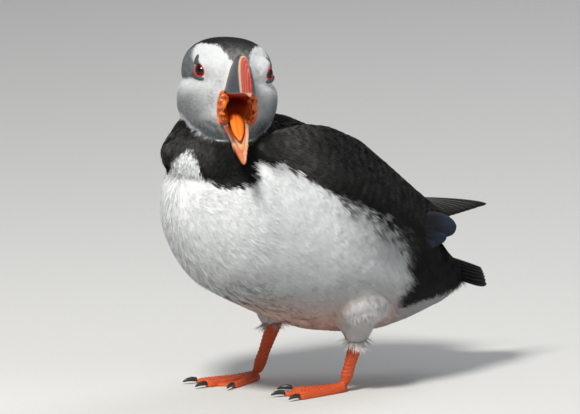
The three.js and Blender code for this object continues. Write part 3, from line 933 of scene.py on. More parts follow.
def plumage_tree():
    """Scatters a feather over a region of the skin, turns it along the lie and drapes it."""
    tree = bpy.data.node_groups.new("Plumage", "GeometryNodeTree")
    tree.interface.new_socket("Geometry", in_out="INPUT", socket_type="NodeSocketGeometry")
    for name, kind in PLUMAGE_INPUTS.items():
        tree.interface.new_socket(name, in_out="INPUT", socket_type=kind)
    tree.interface.new_socket("Geometry", in_out="OUTPUT", socket_type="NodeSocketGeometry")
    g = Graph(tree)
    inlet = g.node("NodeGroupInput")
    skin, seed = inlet.out("Geometry"), inlet.out("Seed")

    def stored(name, kind="FLOAT"):
        return g.node("GeometryNodeInputNamedAttribute", {"data_type": kind}, Name=name)

    def chance(low, high, turn):
        number = g.node(
            "FunctionNodeRandomValue", {"data_type": "FLOAT"}, Min=low, Max=high, Seed=seed + turn
        )
        return number

    def keep(geometry, name, value, domain, kind="FLOAT"):
        return g.node(
            "GeometryNodeStoreNamedAttribute", {"data_type": kind, "domain": domain},
            Geometry=geometry, Name=name, Value=value,
        )

    spacing = inlet.out("Spacing")
    region = g.node("GeometryNodeInputNamedAttribute", {"data_type": "FLOAT"}, Name=inlet.out("Region"))
    points = g.node(
        "GeometryNodeDistributePointsOnFaces", {"distribute_method": "POISSON"},
        Mesh=skin, Distance_Min=spacing, Density_Max=3 / (spacing * spacing),
        Density_Factor=region, Seed=seed,
    )
    outward = stored("outward", "FLOAT_VECTOR")
    stray = inlet.out("Stray")
    turned = g.node(
        "ShaderNodeVectorRotate", {"rotation_type": "AXIS_ANGLE"},
        Vector=stored("lie", "FLOAT_VECTOR"), Axis=outward, Angle=stray * chance(-1.0, 1.0, 1),
    )
    rotation = g.node(
        "FunctionNodeAxesToRotation", {"primary_axis": "Z", "secondary_axis": "Y"},
        Primary_Axis=outward, Secondary_Axis=turned,
    )
    scale = g.node(
        "ShaderNodeCombineXYZ",
        X=inlet.out("Width") * chance(0.75, 1.25, 2),
        Y=inlet.out("Length") * stored("length") * chance(0.75, 1.2, 3),
        Z=1.0,
    )
    feather = g.node("GeometryNodeObjectInfo", Object=inlet.out("Feather")).out("Geometry")
    laid = g.node(
        "GeometryNodeInstanceOnPoints", Points=points, Instance=feather, Rotation=rotation, Scale=scale
    )
    laid = keep(laid, "shade", chance(0.0, 1.0, 4), "INSTANCE")
    laid = keep(laid, "roll", chance(-1.0, 1.0, 5), "INSTANCE")
    laid = keep(laid, "rise", chance(0.6, 1.1, 6), "INSTANCE")
    real = g.node("GeometryNodeRealizeInstances", Geometry=laid)

    here = g.node("GeometryNodeInputPosition")
    near = g.node(
        "GeometryNodeProximity", {"target_element": "FACES"}, Geometry=skin, Sample_Position=here
    )
    normal = g.node(
        "GeometryNodeSampleNearestSurface", {"data_type": "FLOAT_VECTOR"},
        Mesh=skin, Value=outward, Sample_Position=here,
    )
    along, across = stored("along"), stored("across")
    height = stored("depth") * (inlet.out("Sink") + inlet.out("Lift") * stored("rise") * along)
    height = height + inlet.out("Roll") * stored("roll") * across
    height = height + inlet.out("Camber") * (1 - across * across)
    draped = g.vector("ADD", near, g.vector("SCALE", normal, scale=height))
    gap = near.out("Distance")
    off = g.step(1.5 * MM, 4 * MM, gap)
    final = g.node(
        "ShaderNodeMix", {"data_type": "VECTOR"}, Factor_Float=off, A_Vector=draped, B_Vector=here
    )
    draped = g.node("GeometryNodeSetPosition", Geometry=real, Position=final)
    patch = g.vector("SCALE", stored("patch", "FLOAT_VECTOR"), scale=PATCH)
    uv = g.vector("ADD", stored("unwrap", "FLOAT_VECTOR"), patch)
    mapped = keep(draped, "OFBake", uv, "CORNER", "FLOAT2")
    finished = g.node("GeometryNodeSetMaterial", Geometry=mapped, Material=inlet.out("Finish"))
    outlet = tree.nodes.new("NodeGroupOutput")
    tree.links.new(finished.socket, outlet.inputs[0])
    return tree


# Each part of the plumage: its feather, spacing, width, its length as a share of the skin's own
# length there, how it stands, and the record's slot. Lengths are in millimetres.
PLUMAGE = {
    "face": dict(feather="short", spacing=0.52, width=1.3, length=1.0, lift=0.45, roll=0.03, slot="plumage_head"),
    "cap": dict(feather="short", spacing=0.5, width=1.3, length=1.1, lift=0.5, roll=0.05, slot="plumage_black"),
    "collar": dict(feather="fine", spacing=0.85, width=2.0, length=1.0, lift=0.6, roll=0.06, slot="plumage_black"),
    "breast": dict(feather="fine", spacing=1.05, width=2.2, length=1.25, lift=0.3, roll=0.015, slot="plumage_white"),
    "flank": dict(feather="fine", spacing=1.05, width=2.6, length=1.05, lift=0.5, roll=0.05, slot="plumage_white"),
    "belly": dict(feather="fine", spacing=1.1, width=2.6, length=1.0, lift=0.4, roll=0.03, slot="plumage_white"),
    "back": dict(feather="fine", spacing=1.0, width=2.4, length=1.0, lift=0.5, roll=0.06, slot="plumage_black"),
    "fringe": dict(feather="filament", spacing=1.9, width=3.6, length=1.1, lift=0.7, roll=0.03, slot="plumage_white"),
    "thigh": dict(feather="fine", spacing=0.8, width=2.0, length=1.0, lift=0.6, roll=0.03, slot="plumage_white"),
    "wing_left": dict(feather="fine", spacing=1.15, width=2.8, length=1.0, lift=0.5, roll=0.06, slot="plumage_black"),
    "wing_right": dict(feather="fine", spacing=1.15, width=2.8, length=1.0, lift=0.5, roll=0.06, slot="plumage_black"),
}


def build_feathers():
    return {
        "short": tuft("short_tuft", strands=4, joints=2, slim=0.22, splay=0.06, seed=coat().seed),
        "fine": tuft("fine_tuft", strands=5, joints=3, slim=0.17, splay=0.09, seed=coat().seed + 1),
        "filament": tuft("long_tuft", strands=3, joints=5, slim=0.045, splay=0.2, seed=coat().seed + 2),
    }


def grow(part, skin, tree, feathers, finish):
    """One part of the plumage, as a plain mesh."""
    way = PLUMAGE[part]
    piece = new_object("coat_" + part, skin.data.copy())
    modifier = piece.modifiers.new("plumage", "NODES")
    modifier.node_group = tree
    values = {
        "Region": "region_" + part, "Feather": feathers[way["feather"]],
        "Spacing": way["spacing"] * MM, "Width": way["width"] * MM, "Length": way["length"],
        "Sink": 0.12, "Lift": way["lift"], "Camber": 0.0,
        "Roll": way["roll"] * MM * way["width"], "Stray": math.radians(5), "Seed": coat().seed + len(part),
        "Finish": finish,
    }
    for item in tree.interface.items_tree:
        if item.in_out == "INPUT" and item.name in values:
            modifier[item.identifier] = values[item.name]
    applied(piece)
    if part == "fringe":
        store(piece.data, "dark", np.zeros(len(piece.data.vertices)))
    else:
        painted = piece.data.attributes["tip_dark"]
        values = np.empty(len(painted.data), np.float32)
        painted.data.foreach_get("value", values)
        store(piece.data, "dark", values)
    kept = ("position", "dark", "grey", "warm", "worn", "mouth", "throat", "along", "across", "shade", "OFBake")
    for name in [a.name for a in piece.data.attributes if not a.is_internal]:
        if name not in kept and not name.startswith((".", "material_index", "sharp")):
            piece.data.attributes.remove(piece.data.attributes[name])
    piece.data.polygons.foreach_set("use_smooth", [True] * len(piece.data.polygons))
    return piece


# ---- Bill ---------------------------------------------------------------------------------------
JAW_HINGE = np.array([0.0, -2.0, -16.0])
JAW_OPEN = math.radians(38.5)
# Bands across each bill: millimetres ahead of the head's middle at one level, and how far they slant.
UPPER_BANDS = dict(rim=19.2, stripe=41.6, grooves=(45.6, 49.2, 52.6), slant=0.62, level=-8.7)
LOWER_BANDS = dict(rim=19.6, stripe=38.0, grooves=(43.0, 47.5), slant=-0.35, level=-2.0)


def to_jaw(head):
    """From the head's frame to the shut lower bill's."""
    y, z = head[:, 1] - JAW_HINGE[1], head[:, 2] - JAW_HINGE[2]
    cos, sin = math.cos(JAW_OPEN), math.sin(JAW_OPEN)
    return np.column_stack([head[:, 0], y * cos + z * sin, z * cos - y * sin])


def pinched(points):
    """The upper bill with its front part pressed thinner and its base wider on the left."""
    head = to_head(points)
    aside = head[:, 0] - FACE_ASIDE
    thinner = 1 - 0.5 * ramp(24, 46, -head[:, 1])
    wider = 1 + 0.2 * (aside > 0) * ramp(36, 26, -head[:, 1])
    head[:, 0] = FACE_ASIDE + aside * thinner * wider
    return from_head(head)


def gaps_to(points, tree):
    """Distance in millimetres from each point to a surface."""
    return np.array([tree.find_nearest(Vector(p))[3] for p in points]) / MM


def build_bill(half, bands, skin):
    """The upper or lower bill, with its ridges and grooves."""
    name = "bill_" + half
    piece = smoothed_node(name, [name], voxel=0.4, rounds=9)
    points, normals = corners_of(piece.data), normals_of(piece.data)
    head, facing = to_head(points), normals @ HEAD_TURNED
    if half == "lower":
        head = to_jaw(head)
        facing = to_jaw(facing + JAW_HINGE)
        inner = ramp(0.1, 0.5, facing[:, 2]) * ramp(0.8, -0.6, head[:, 2])
        edge = ramp(-0.8, 0.3, head[:, 2]) * (1 - inner)
    else:
        inner = ramp(-0.35, -0.75, facing[:, 2])
        edge = ramp(-12.0, -13.0, head[:, 2]) * (1 - inner) * 0.8
    forward = -head[:, 1]
    base_rim = ramp(2.6, 1.9, gaps_to(points, skin)) * ramp(30, 26, forward)
    forward = forward + bands["slant"] * (head[:, 2] - bands["level"])
    grooves = sum(line(forward, at, 1.3) for at in bands["grooves"])
    ridges = line(forward, bands["stripe"], 2.8) + base_rim
    outer = 1 - inner
    points = points + normals * ((0.3 * ridges - 0.32 * grooves) * outer)[:, None] * MM
    if half == "upper":
        points = pinched(points)
    move_corners(piece.data, points)
    cream = np.clip(line(forward, bands["stripe"], 3.0) + base_rim, 0, 1)
    slate = ramp(bands["stripe"] - 0.4, bands["stripe"] - 1.8, forward)
    store(piece.data, "slate", slate * outer)
    # On the bird's right the lower bill's rim is left slate where it would be cream: painted shade on that side.
    shaded_rim = (half == "lower") * edge * slate * ramp(0.5, -0.5, head[:, 0] - FACE_ASIDE)
    store(piece.data, "cream", np.clip(np.maximum(cream, edge - shaded_rim), 0, 1) * outer)
    store(piece.data, "groove", np.clip(grooves, 0, 1) * outer)
    store(piece.data, "inner", inner)
    store(piece.data, "trough", (half == "upper") + (half == "lower") * ramp(31.5, 29, -head[:, 1]))
    ruddy = 1 - 0.45 * ramp(0, 1.2, head[:, 0] - FACE_ASIDE)
    store(piece.data, "tip", (half == "lower") * ramp(34, 45, -head[:, 1]) * ruddy)
    return piece


def bill_finish(name, lining):
    look = Finish(name)
    paint = colours()
    cloud = look.noise(2.2, 4)
    red = look.blend(cloud, paint.red, (0.42, 0.030, 0.012))
    red = look.blend(look.field("groove") * 0.6, red, (0.46, 0.20, 0.13))
    slate = look.blend(look.noise(1.6, 3), paint.slate, (0.052, 0.062, 0.078))
    base = look.blend(look.field("slate"), red, slate)
    base = look.blend(look.field("cream") * (0.75 + 0.25 * cloud), base, paint.cream)
    worn = look.blend(cloud, paint.cream, (0.52, 0.20, 0.06))
    base = look.blend(look.field("inner"), base, look.blend(look.field("trough"), worn, lining))
    base = look.blend(look.field("tip") * (0.6 + 0.4 * cloud), base, (0.42, 0.070, 0.004))
    scratches = look.noise(0.8, 4, roughness=0.65)
    look.set(Base_Color=base, Roughness=0.34 + 0.22 * scratches, Specular_IOR_Level=0.35)
    look.shader.inputs["Coat Weight"].default_value = 0.12
    look.shader.inputs["Coat Roughness"].default_value = 0.25
    look.bump(scratches * 0.6 + look.noise(3.0, 2), 0.12)
    return look.material


# ---- Mouth --------------------------------------------------------------------------------------
def build_gape(side):
    """The wrinkled rosette at one corner of the mouth."""
    name = "gape_" + side
    piece = smoothed_node(name, [name], voxel=0.35, rounds=8)
    points, normals = corners_of(piece.data), normals_of(piece.data)
    head = to_head(points)
    _, y, z = head.T
    folds = np.sin(1.25 * z + 0.8 * y + 1.8 * np.sin(0.45 * z - 0.7 * y))
    pleats = np.sin(0.8 * z - 1.5 * y + 2.0 * np.sin(0.4 * z + 0.8 * y) + SIDES[side])
    height = 0.6 * folds + 0.5 * np.abs(pleats) - 0.45
    move_corners(piece.data, points + normals * height[:, None] * MM)
    # The crease share: painted shade where the folds sink in, with painted light on their tops.
    store(piece.data, "crease", np.clip(0.5 - 0.5 * folds * np.abs(pleats) - 0.2 * pleats, 0, 1))
    return piece


def build_tongue():
    piece = smoothed_node("tongue", ["tongue"], voxel=0.35, rounds=8)
    points, normals = corners_of(piece.data), normals_of(piece.data)
    jaw = to_jaw(to_head(points))
    middle_groove = -0.5 * line(jaw[:, 0], FACE_ASIDE, 1.6) * ramp(0.0, 0.6, normals[:, 2])
    move_corners(piece.data, points + normals * middle_groove[:, None] * MM)
    # The tongue's rear is painted darker and redder than its front: painted shade at its base, painted light on its
    # tip.
    store(piece.data, "crease", ramp(-24, -10, jaw[:, 1]))
    return piece


def mouth_finish(name, deep, pale):
    """Moist skin, deep where its crease share is high and pale elsewhere: painted shade in the rosettes' creases and
    at the tongue's base, painted light on the folds and the tongue's tip.
    """
    look = Finish(name)
    cloud = look.noise(1.3, 3)
    base = look.blend(look.field("crease"), pale, deep)
    base = look.blend(cloud * 0.35, base, colours().gape)
    look.set(Base_Color=base, Roughness=0.28 + 0.15 * cloud)
    look.shader.inputs["Subsurface Weight"].default_value = 0.12
    look.shader.inputs["Subsurface Scale"].default_value = 0.001
    look.shader.inputs["Coat Weight"].default_value = 0.2
    look.bump(look.noise(0.7, 3), 0.1)
    return look.material


# ---- Eyes ---------------------------------------------------------------------------------------
# Outlines of the horny plates above and below the eye, as millimetres ahead of it and above it.
UPPER_PLATE = [
    (-5.7, 2.9), (-3.2, 2.8), (-0.4, 3.4), (-2.2, 5.3), (-4.2, 7.8), (-5.4, 8.7), (-6.0, 6.2),
]
LOWER_PLATE = [
    (-5.2, -1.4), (-3.2, -2.8), (0.0, -3.7), (2.0, -3.8), (3.5, -3.5), (3.8, -5.2), (1.8, -5.5),
    (-1.6, -4.9), (-4.4, -3.7), (-5.8, -2.4),
]


def ring_of_quads(around, along):
    """Faces of a grid that closes on itself round and, where closed, along."""
    faces = []
    for i in range(around):
        for j in range(along):
            a, b = i * along + j, i * along + (j + 1) % along
            c, d = ((i + 1) % around) * along + (j + 1) % along, ((i + 1) % around) * along + j
            faces.append((a, b, c, d))
    return faces


def mesh_piece(name, points, faces):
    """A smooth piece with its faces pointing outwards, from points in metres."""
    mesh = bpy.data.meshes.new(name)
    mesh.from_pydata([tuple(p) for p in points], [], faces)
    sheet = bmesh.new()
    sheet.from_mesh(mesh)
    bmesh.ops.recalc_face_normals(sheet, faces=sheet.faces)
    sheet.to_mesh(mesh)
    sheet.free()
    mesh.polygons.foreach_set("use_smooth", [True] * len(mesh.polygons))
    return new_object(name, mesh)


def build_eyeball(side):
    """An eyeball with a cornea that stands out a little in front of its iris."""
    centre, forward, up, outward = eye_axes(side)
    sheet = bmesh.new()
    bmesh.ops.create_icosphere(sheet, subdivisions=5, radius=1)
    mesh = bpy.data.meshes.new("eye_" + side)
    sheet.to_mesh(mesh)
    sheet.free()
    ball = unit(corners_of(mesh))
    ahead = ball @ outward
    swell = EYEBALL["radius"] + 0.25 * ramp(0.75, 1.0, ahead) - 1.4 * ramp(0.46, 0.2, ahead)
    move_corners(mesh, from_head(centre + ball * swell[:, None]))
    store(mesh, "off_axis", np.degrees(np.arccos(np.clip(ahead, -1, 1))))
    mesh.polygons.foreach_set("use_smooth", [True] * len(mesh.polygons))
    return new_object("eyeball_" + side, mesh)


def build_eye_ring(side):
    """The bare red ring round the eye."""
    centre, forward, up, outward = eye_axes(side)
    middle_point = centre + forward * LIDS["at"][0] + up * LIDS["at"][1]
    around, along = 72, 14
    points = []
    for i in range(around):
        turn = 2 * math.pi * i / around
        spoke = math.cos(turn) * forward + math.sin(turn) * up
        lift = 0.06 * math.sin(3 * turn) + 0.04 * math.sin(11 * turn)
        low = max(0.0, math.cos(turn) * RING["thickest"][0] + math.sin(turn) * RING["thickest"][1])
        half = RING["thin"] + (RING["thick"] - RING["thin"]) * low
        for j in range(along):
            roll = 2 * math.pi * j / along
            reach = opening(turn) + half + half * math.cos(roll)
            rise = ring_height(turn) + (0.4 + lift) * math.sin(roll) - 0.25 * half * math.cos(roll)
            points.append(from_head(middle_point + spoke * reach + outward * rise))
    return mesh_piece("eye_ring_" + side, points, ring_of_quads(around, along))


def skin_tree(skin):
    points = [Vector(p) for p in corners_of(skin.data)]
    return BVHTree.FromPolygons(points, [tuple(p.vertices) for p in skin.data.polygons])


def build_plate(name, side, outline, tree):
    """A horny plate by the eye: its outline drawn in towards its middle and laid on the skin."""
    centre, forward, up, outward = eye_axes(side)
    closed = np.array(outline + outline[:1])
    count = len(outline) * 6
    span = np.linspace(0, len(outline), count, endpoint=False)
    rim = np.column_stack([np.interp(span, np.arange(len(closed)), closed[:, k]) for k in range(2)])
    for _ in range(3):
        rim = (np.roll(rim, 1, axis=0) + 2 * rim + np.roll(rim, -1, axis=0)) / 4
    middle_point = rim.mean(axis=0)
    steps = ((1.0, -0.4), (1.0, 0.35), (0.9, 0.75), (0.6, 0.95), (0.25, 1.0))
    points, faces = [], []
    for size, height in steps:
        for at in middle_point + (rim - middle_point) * size:
            place = Vector(from_head(centre + forward * at[0] + up * at[1] + outward * 4.0))
            found, normal, _, _ = tree.ray_cast(place, -Vector(HEAD_TURNED @ outward))
            points.append(found + normal * height * MM)
    for step in range(len(steps) - 1):
        for i in range(count):
            a, b = step * count + i, step * count + (i + 1) % count
            faces.append((a, b, b + count, a + count))
    last = (len(steps) - 1) * count
    faces.append(tuple(range(last, last + count)))
    faces.append(tuple(range(count))[::-1])
    return mesh_piece(name, points, faces)


def eye_finish():
    look = Finish("eye")
    off = look.field("off_axis")
    streaks = look.noise(0.9, 3)
    iris = look.blend(streaks, (0.022, 0.011, 0.006), (0.010, 0.006, 0.004))
    base = look.blend(look.step(31.0, 27.0, off), iris, (0.002, 0.002, 0.002))
    base = look.blend(look.step(50.0, 56.0, off), base, (0.02, 0.012, 0.01))
    look.set(Base_Color=base, Roughness=0.06, Specular_IOR_Level=0.3)
    return look.material


def lid_finish(name, first, second):
    """Bare rough skin or horn round the eye."""
    look = Finish(name)
    cloud = look.noise(0.8, 3)
    look.set(Base_Color=look.blend(cloud, first, second), Roughness=0.42 + 0.15 * cloud)
    look.bump(look.noise(0.45, 3), 0.12)
    return look.material


# ---- Legs ---------------------------------------------------------------------------------------
def build_leg(side):
    """A shank with its toes and webs, in one skin, with rows of scales across."""
    nodes = ["tarsus_" + side, "foot_" + side]
    piece = smoothed_node("leg_" + side, nodes, voxel=0.45, rounds=7, swell=0.2)
    points, normals = corners_of(piece.data), normals_of(piece.data)
    bird = to_bird(points)
    low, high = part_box("foot_" + side)
    heel = Vector(((low.x + high.x) / 2, high.y, 0))
    reach = np.linalg.norm(points[:, :2] - np.array(heel)[:2], axis=1) / MM
    toes = ramp(1.5, 2.4, bird[:, 2]) * ramp(7, 5, bird[:, 2])
    rings = 0.14 * np.sin(2 * math.pi * reach / 1.9) * toes
    shank = ramp(6, 9, bird[:, 2]) * 0.12 * np.sin(2 * math.pi * bird[:, 2] / 2.1)
    points = points + normals * (rings + shank)[:, None] * MM
    points[:, 2] = np.maximum(points[:, 2], 0)
    move_corners(piece.data, points)
    store(piece.data, "web", ramp(2.0, 1.3, bird[:, 2]) * ramp(8, 12, reach))
    return piece


def leg_finish():
    look = Finish("legs")
    paint = colours()
    cells = look.node(
        "ShaderNodeTexVoronoi", {"feature": "DISTANCE_TO_EDGE"}, Vector=look.place(), Scale=780.0
    )
    seams = look.step(0.14, 0.02, cells)
    cloud = look.noise(5, 3)
    base = look.blend(cloud, paint.legs, (0.62, 0.10, 0.012))
    base = look.blend(look.field("web") * 0.5, base, (0.66, 0.14, 0.022))
    base = look.blend(seams * 0.35, base, (0.34, 0.035, 0.008))
    look.set(Base_Color=base, Roughness=0.42 + 0.2 * cloud)
    look.shader.inputs["Subsurface Weight"].default_value = 0.08
    look.shader.inputs["Subsurface Scale"].default_value = 0.001
    look.bump(1 - seams, 0.12)
    return look.material


def claw_finish():
    look = Finish("claws")
    cloud = look.noise(1.2, 3)
    look.set(
        Base_Color=look.blend(cloud, (0.010, 0.009, 0.009), (0.030, 0.024, 0.020)),
        Roughness=0.28 + 0.2 * cloud,
    )
    look.bump(look.noise(0.6, 2), 0.06)
    return look.material


# ---- Flight feathers ----------------------------------------------------------------------------
ROWS = 18
COLUMNS = (-1.0, -0.66, -0.3, -0.06, 0.06, 0.3, 0.66, 1.0)


def long_feather(root, tip, outward, width, lead=1.0, bow=0.0, taper=0.26):
    """Points of one long feather in the bird's frame, with a shaft and two cambered vanes."""
    root, tip, outward = (np.asarray(v, float) for v in (root, tip, outward))
    way = (tip - root) / np.linalg.norm(tip - root)
    outward = outward - way * (outward @ way)
    outward = outward / np.linalg.norm(outward)
    side = np.cross(way, outward)
    share = np.sin(np.linspace(0, math.pi / 2, ROWS))
    round_end = np.sqrt(np.clip(1 - np.clip((share - 1 + taper) / taper, 0, 1) ** 2, 0.012, 1))
    half = width / 2 * np.minimum(1, 0.4 + 1.6 * share) * round_end
    points = []
    for s, h in zip(share, half):
        centre = root + (tip - root) * s + outward * bow * 4 * s * (1 - s)
        for t in COLUMNS:
            reach = h * t * (lead if t < 0 else 1.0)
            shaft = 0.16 if abs(t) < 0.1 else 0.0
            points.append(centre + side * reach + outward * (shaft - 0.10 * abs(reach) * abs(t)))
    return np.array(points), share


def feather_row(name, feathers, thickness=0.28):
    """Long feathers joined in one piece, each a closed sheet."""
    points, faces, along, across, shade = [], [], [], [], []
    wide = len(COLUMNS)
    for number, (corners, share) in enumerate(feathers):
        first = len(points)
        points.extend(corners)
        along.extend(np.repeat(share, wide))
        across.extend(np.tile(COLUMNS, ROWS))
        shade.extend([(number * 0.618) % 1] * len(corners))
        for row in range(ROWS - 1):
            for column in range(wide - 1):
                low = first + row * wide + column
                faces.append((low, low + 1, low + wide + 1, low + wide))
    mesh = bpy.data.meshes.new(name)
    mesh.from_pydata([tuple(p) for p in from_bird(points)], [], faces)
    for attribute, values in (("along", along), ("across", across), ("shade", shade)):
        store(mesh, attribute, values)
    mesh.polygons.foreach_set("use_smooth", [True] * len(mesh.polygons))
    piece = new_object(name, mesh)
    thick = piece.modifiers.new("thickness", "SOLIDIFY")
    thick.thickness = thickness * MM
    thick.offset = -1
    return applied(piece)


def between(first, last, share):
    return np.asarray(first, float) * (1 - share) + np.asarray(last, float) * share


RIGHT_DROP = 6.0  # the right wing's tip lies this much lower than the left one's


def build_primaries(side):
    """The long flight feathers of one folded wing, fanned at its tip."""
    sign = SIDES[side]
    lower = 0 if side == "left" else RIGHT_DROP
    count = 7
    feathers = []
    for i in range(count):
        share = i / (count - 1)
        root = between((23.0, 44, 100.5), (25.0, 50, 101.5), share) - [0, 0, lower]
        tip = between((12.3, 111.6, 91.6), (22.5, 82, 89.5), share**0.8) - [0, 0, lower]
        root, tip = root * [sign, 1, 1], tip * [sign, 1, 1]
        nudge = np.array([0.5 * sign, 0, 0.3]) * (share * 1.6 - 0.4)
        out = (0.87 * sign, 0, 0.5)
        shape = dict(lead=0.7, bow=0.8, taper=0.75)
        feathers.append(long_feather(root + nudge, tip + nudge, out, 8.6, **shape))
    return feather_row("flight_" + side, feathers)


# The broad inner flight feathers: root, tip and width, the lowest first.
WING_END = (
    ((34.0, 46, 80), (33.0, 66, 77.6), 10),
    ((33.5, 48, 82.5), (31.0, 74, 80.4), 13),
    ((33.0, 51, 87.2), (28.2, 82, 84.6), 16),
)


def laid_on(points, tree, lifts, shares):
    """Points near the skin, laid on it at their own heights but for those at the feather's end."""
    laid = []
    for point, lift, share in zip(from_bird(points), lifts, shares):
        found, normal, _, gap = tree.find_nearest(Vector(point))
        near = ramp(7, 4, gap / MM) * ramp(1.0, 0.55, share)
        laid.append(np.array(found + normal * lift * MM) * near + point * (1 - near))
    return to_bird(np.array(laid))


def build_wing_end(side, tree):
    """The broad round ends of the inner flight feathers, lying over one another."""
    sign = np.array([SIDES[side], 1, 1])
    feathers = []
    for number, (root, tip, width) in enumerate(WING_END):
        out = np.array([0.9, 0.1, 0.35]) * sign
        corners, along = long_feather(root * sign, tip * sign, out, width, bow=1.2, taper=0.5)
        shares = np.repeat(along, len(COLUMNS))
        over = np.tile(1 - np.abs(COLUMNS), ROWS) * 0.3
        lift = -1.2 + 3.0 * shares**0.7 + 0.3 * number + over
        feathers.append((laid_on(corners, tree, lift, shares), along))
    return feather_row("wing_end_" + side, feathers)


TAIL_ROOT = np.array([0.0, 80.0, 64.0])


def build_tail():
    """The fan of tail feathers, highest along its middle."""
    count = 14
    feathers = []
    for i in sorted(range(count), key=lambda i: -abs(2 * i - count + 1)):
        share = 2 * i / (count - 1) - 1
        angle = math.radians(11) * share
        pitch = math.radians(-19)
        reach = 37.6 - 3.2 * abs(share)
        way = np.array([
            math.sin(angle) * math.cos(pitch), math.cos(angle) * math.cos(pitch), math.sin(pitch)
        ])
        root = TAIL_ROOT + [share * 6, 0, 2.2 * (1 - abs(share)) - 5.5 * share**2]
        out = (0.8 * share, 0.3, 1)
        lift = np.array([0, 0, 0.5 * (1 - abs(share)) * 2])
        feathers.append(long_feather(root + lift, root + lift * 0.5 + way * reach, out, 8.4, bow=0.6))
    return feather_row("tail_feathers", feathers, thickness=0.35)


def flight_finish(name, dark, light, edge_tone):
    """Flight feathers with fine barbs, a shaft and paler worn edges."""
    look = Finish(name)
    along, across = look.field("along"), look.field("across")
    apart = look.maths("ABSOLUTE", across)
    barbs = look.maths("SINE", along * 520.0 - apart * 22.0)
    edge = look.step(0.78, 1.0, apart) * look.step(0.1, 0.5, along)
    base = look.blend(look.noise(7, 3) * look.step(0.4, 0.95, along), dark, light)
    base = look.blend(edge * (0.3 + 0.5 * look.field("shade")), base, edge_tone)
    shaft = look.step(0.12, 0.03, apart)
    base = look.blend(shaft * 0.4, base, (0.02, 0.016, 0.013))
    look.set(Base_Color=base, Roughness=0.55 + 0.12 * barbs, Specular_IOR_Level=0.15)
    look.bump(barbs, 0.05)
    return look.material


# ---- Stage --------------------------------------------------------------------------------------
VIEW_CENTRE = (-5.4, 96.7)  # what the view is centred on: to the right and up from the bird's origin


def view_axes(azimuth, elevation):
    """Towards the camera, to its right and up, as it sees the bird."""
    towards = Vector((
        math.cos(elevation) * math.sin(azimuth),
        -math.cos(elevation) * math.cos(azimuth),
        math.sin(elevation),
    ))
    right = Vector((math.cos(azimuth), math.sin(azimuth), 0))
    return towards, right, towards.cross(right)


def build_camera():
    stage = bpy.context.scene.puffin_stage
    towards, right, up = view_axes(stage.azimuth, stage.elevation)
    target = Vector(BIRD_ORIGIN) + (right * VIEW_CENTRE[0] + up * VIEW_CENTRE[1]) * MM
    data = bpy.data.cameras.new("camera")
    data.sensor_width = 36
    data.lens = data.sensor_width * stage.distance / stage.view_width
    data.clip_end = 100
    camera = bpy.data.objects.new("camera", data)
    camera.matrix_world = Matrix.Translation(target + towards * stage.distance) @ Matrix(
        (right, up, towards)
    ).transposed().to_4x4()
    bpy.context.scene.collection.objects.link(camera)
    bpy.context.scene.camera = camera


# Each light's bearing and height in degrees, distance and size in metres, power and colour.
LIGHTS = {
    "key": dict(azimuth=30, elevation=52, distance=1.6, size=0.35, power=35, colour=(1.0, 0.97, 0.92)),
    "fill": dict(azimuth=115, elevation=25, distance=2.0, size=1.6, power=6, colour=(0.92, 0.96, 1.0)),
    "rim": dict(azimuth=200, elevation=45, distance=1.8, size=1.0, power=10, colour=(0.96, 0.98, 1.0)),
}


def build_light(name, azimuth, elevation, distance, size, power, colour):
    towards, _, _ = view_axes(math.radians(azimuth), math.radians(elevation))
    data = bpy.data.lights.new(name, "AREA")
    data.shape = "DISK"
    data.size = size
    data.energy = power
    data.color = colour
    light = bpy.data.objects.new(name, data)
    light.location = Vector(BIRD_ORIGIN) + Vector((0, 0, 0.1)) + towards * distance
    light.rotation_euler = towards.to_track_quat("Z", "Y").to_euler()
    bpy.context.scene.collection.objects.link(light)


def build_floor():
    sheet = bmesh.new()
    bmesh.ops.create_circle(sheet, cap_ends=True, segments=64, radius=25)
    mesh = bpy.data.meshes.new("floor")
    sheet.to_mesh(mesh)
    sheet.free()
    floor = new_object("floor", mesh)
    look = Finish("floor")
    grain = look.noise(3, 3)
    look.set(
        Base_Color=look.blend(grain, (0.52, 0.52, 0.51), (0.56, 0.56, 0.55)), Roughness=0.75
    )
    floor.data.materials.append(look.material)


def build_world():
    world = bpy.data.worlds.new("studio")
    world.use_nodes = True
    background = world.node_tree.nodes["Background"]
    background.inputs["Color"].default_value = (0.93, 0.96, 1.0, 1)
    background.inputs["Strength"].default_value = 0.32
    bpy.context.scene.world = world


# ---- Operators ----------------------------------------------------------------------------------
class PUFFIN_OT_stage(bpy.types.Operator):
    """Sets the pale floor, the soft lights and the camera"""

    bl_idname = "puffin.stage"
    bl_label = "Stage"

    def execute(self, context):
        build_floor()
        build_world()
        for name, light in LIGHTS.items():
            build_light(name, **light)
        build_camera()
        context.scene.view_settings.view_transform = "Standard"
        return {"FINISHED"}


class PUFFIN_OT_plumage(bpy.types.Operator):
    """Lays one skin over the flesh and grows the small feathers on it"""

    bl_idname = "puffin.plumage"
    bl_label = "Skin and plumage"

    def execute(self, context):
        finish = plumage_finish()
        skin = build_skin()
        tree, feathers = plumage_tree(), build_feathers()
        coats = {part: grow(part, skin, tree, feathers, finish) for part in PLUMAGE}
        for feather in feathers.values():
            bpy.data.objects.remove(feather)
        dress(skin, finish, "plumage_white", *FLESH)
        for part, piece in coats.items():
            dress(piece, finish, PLUMAGE[part]["slot"])
        return {"FINISHED"}


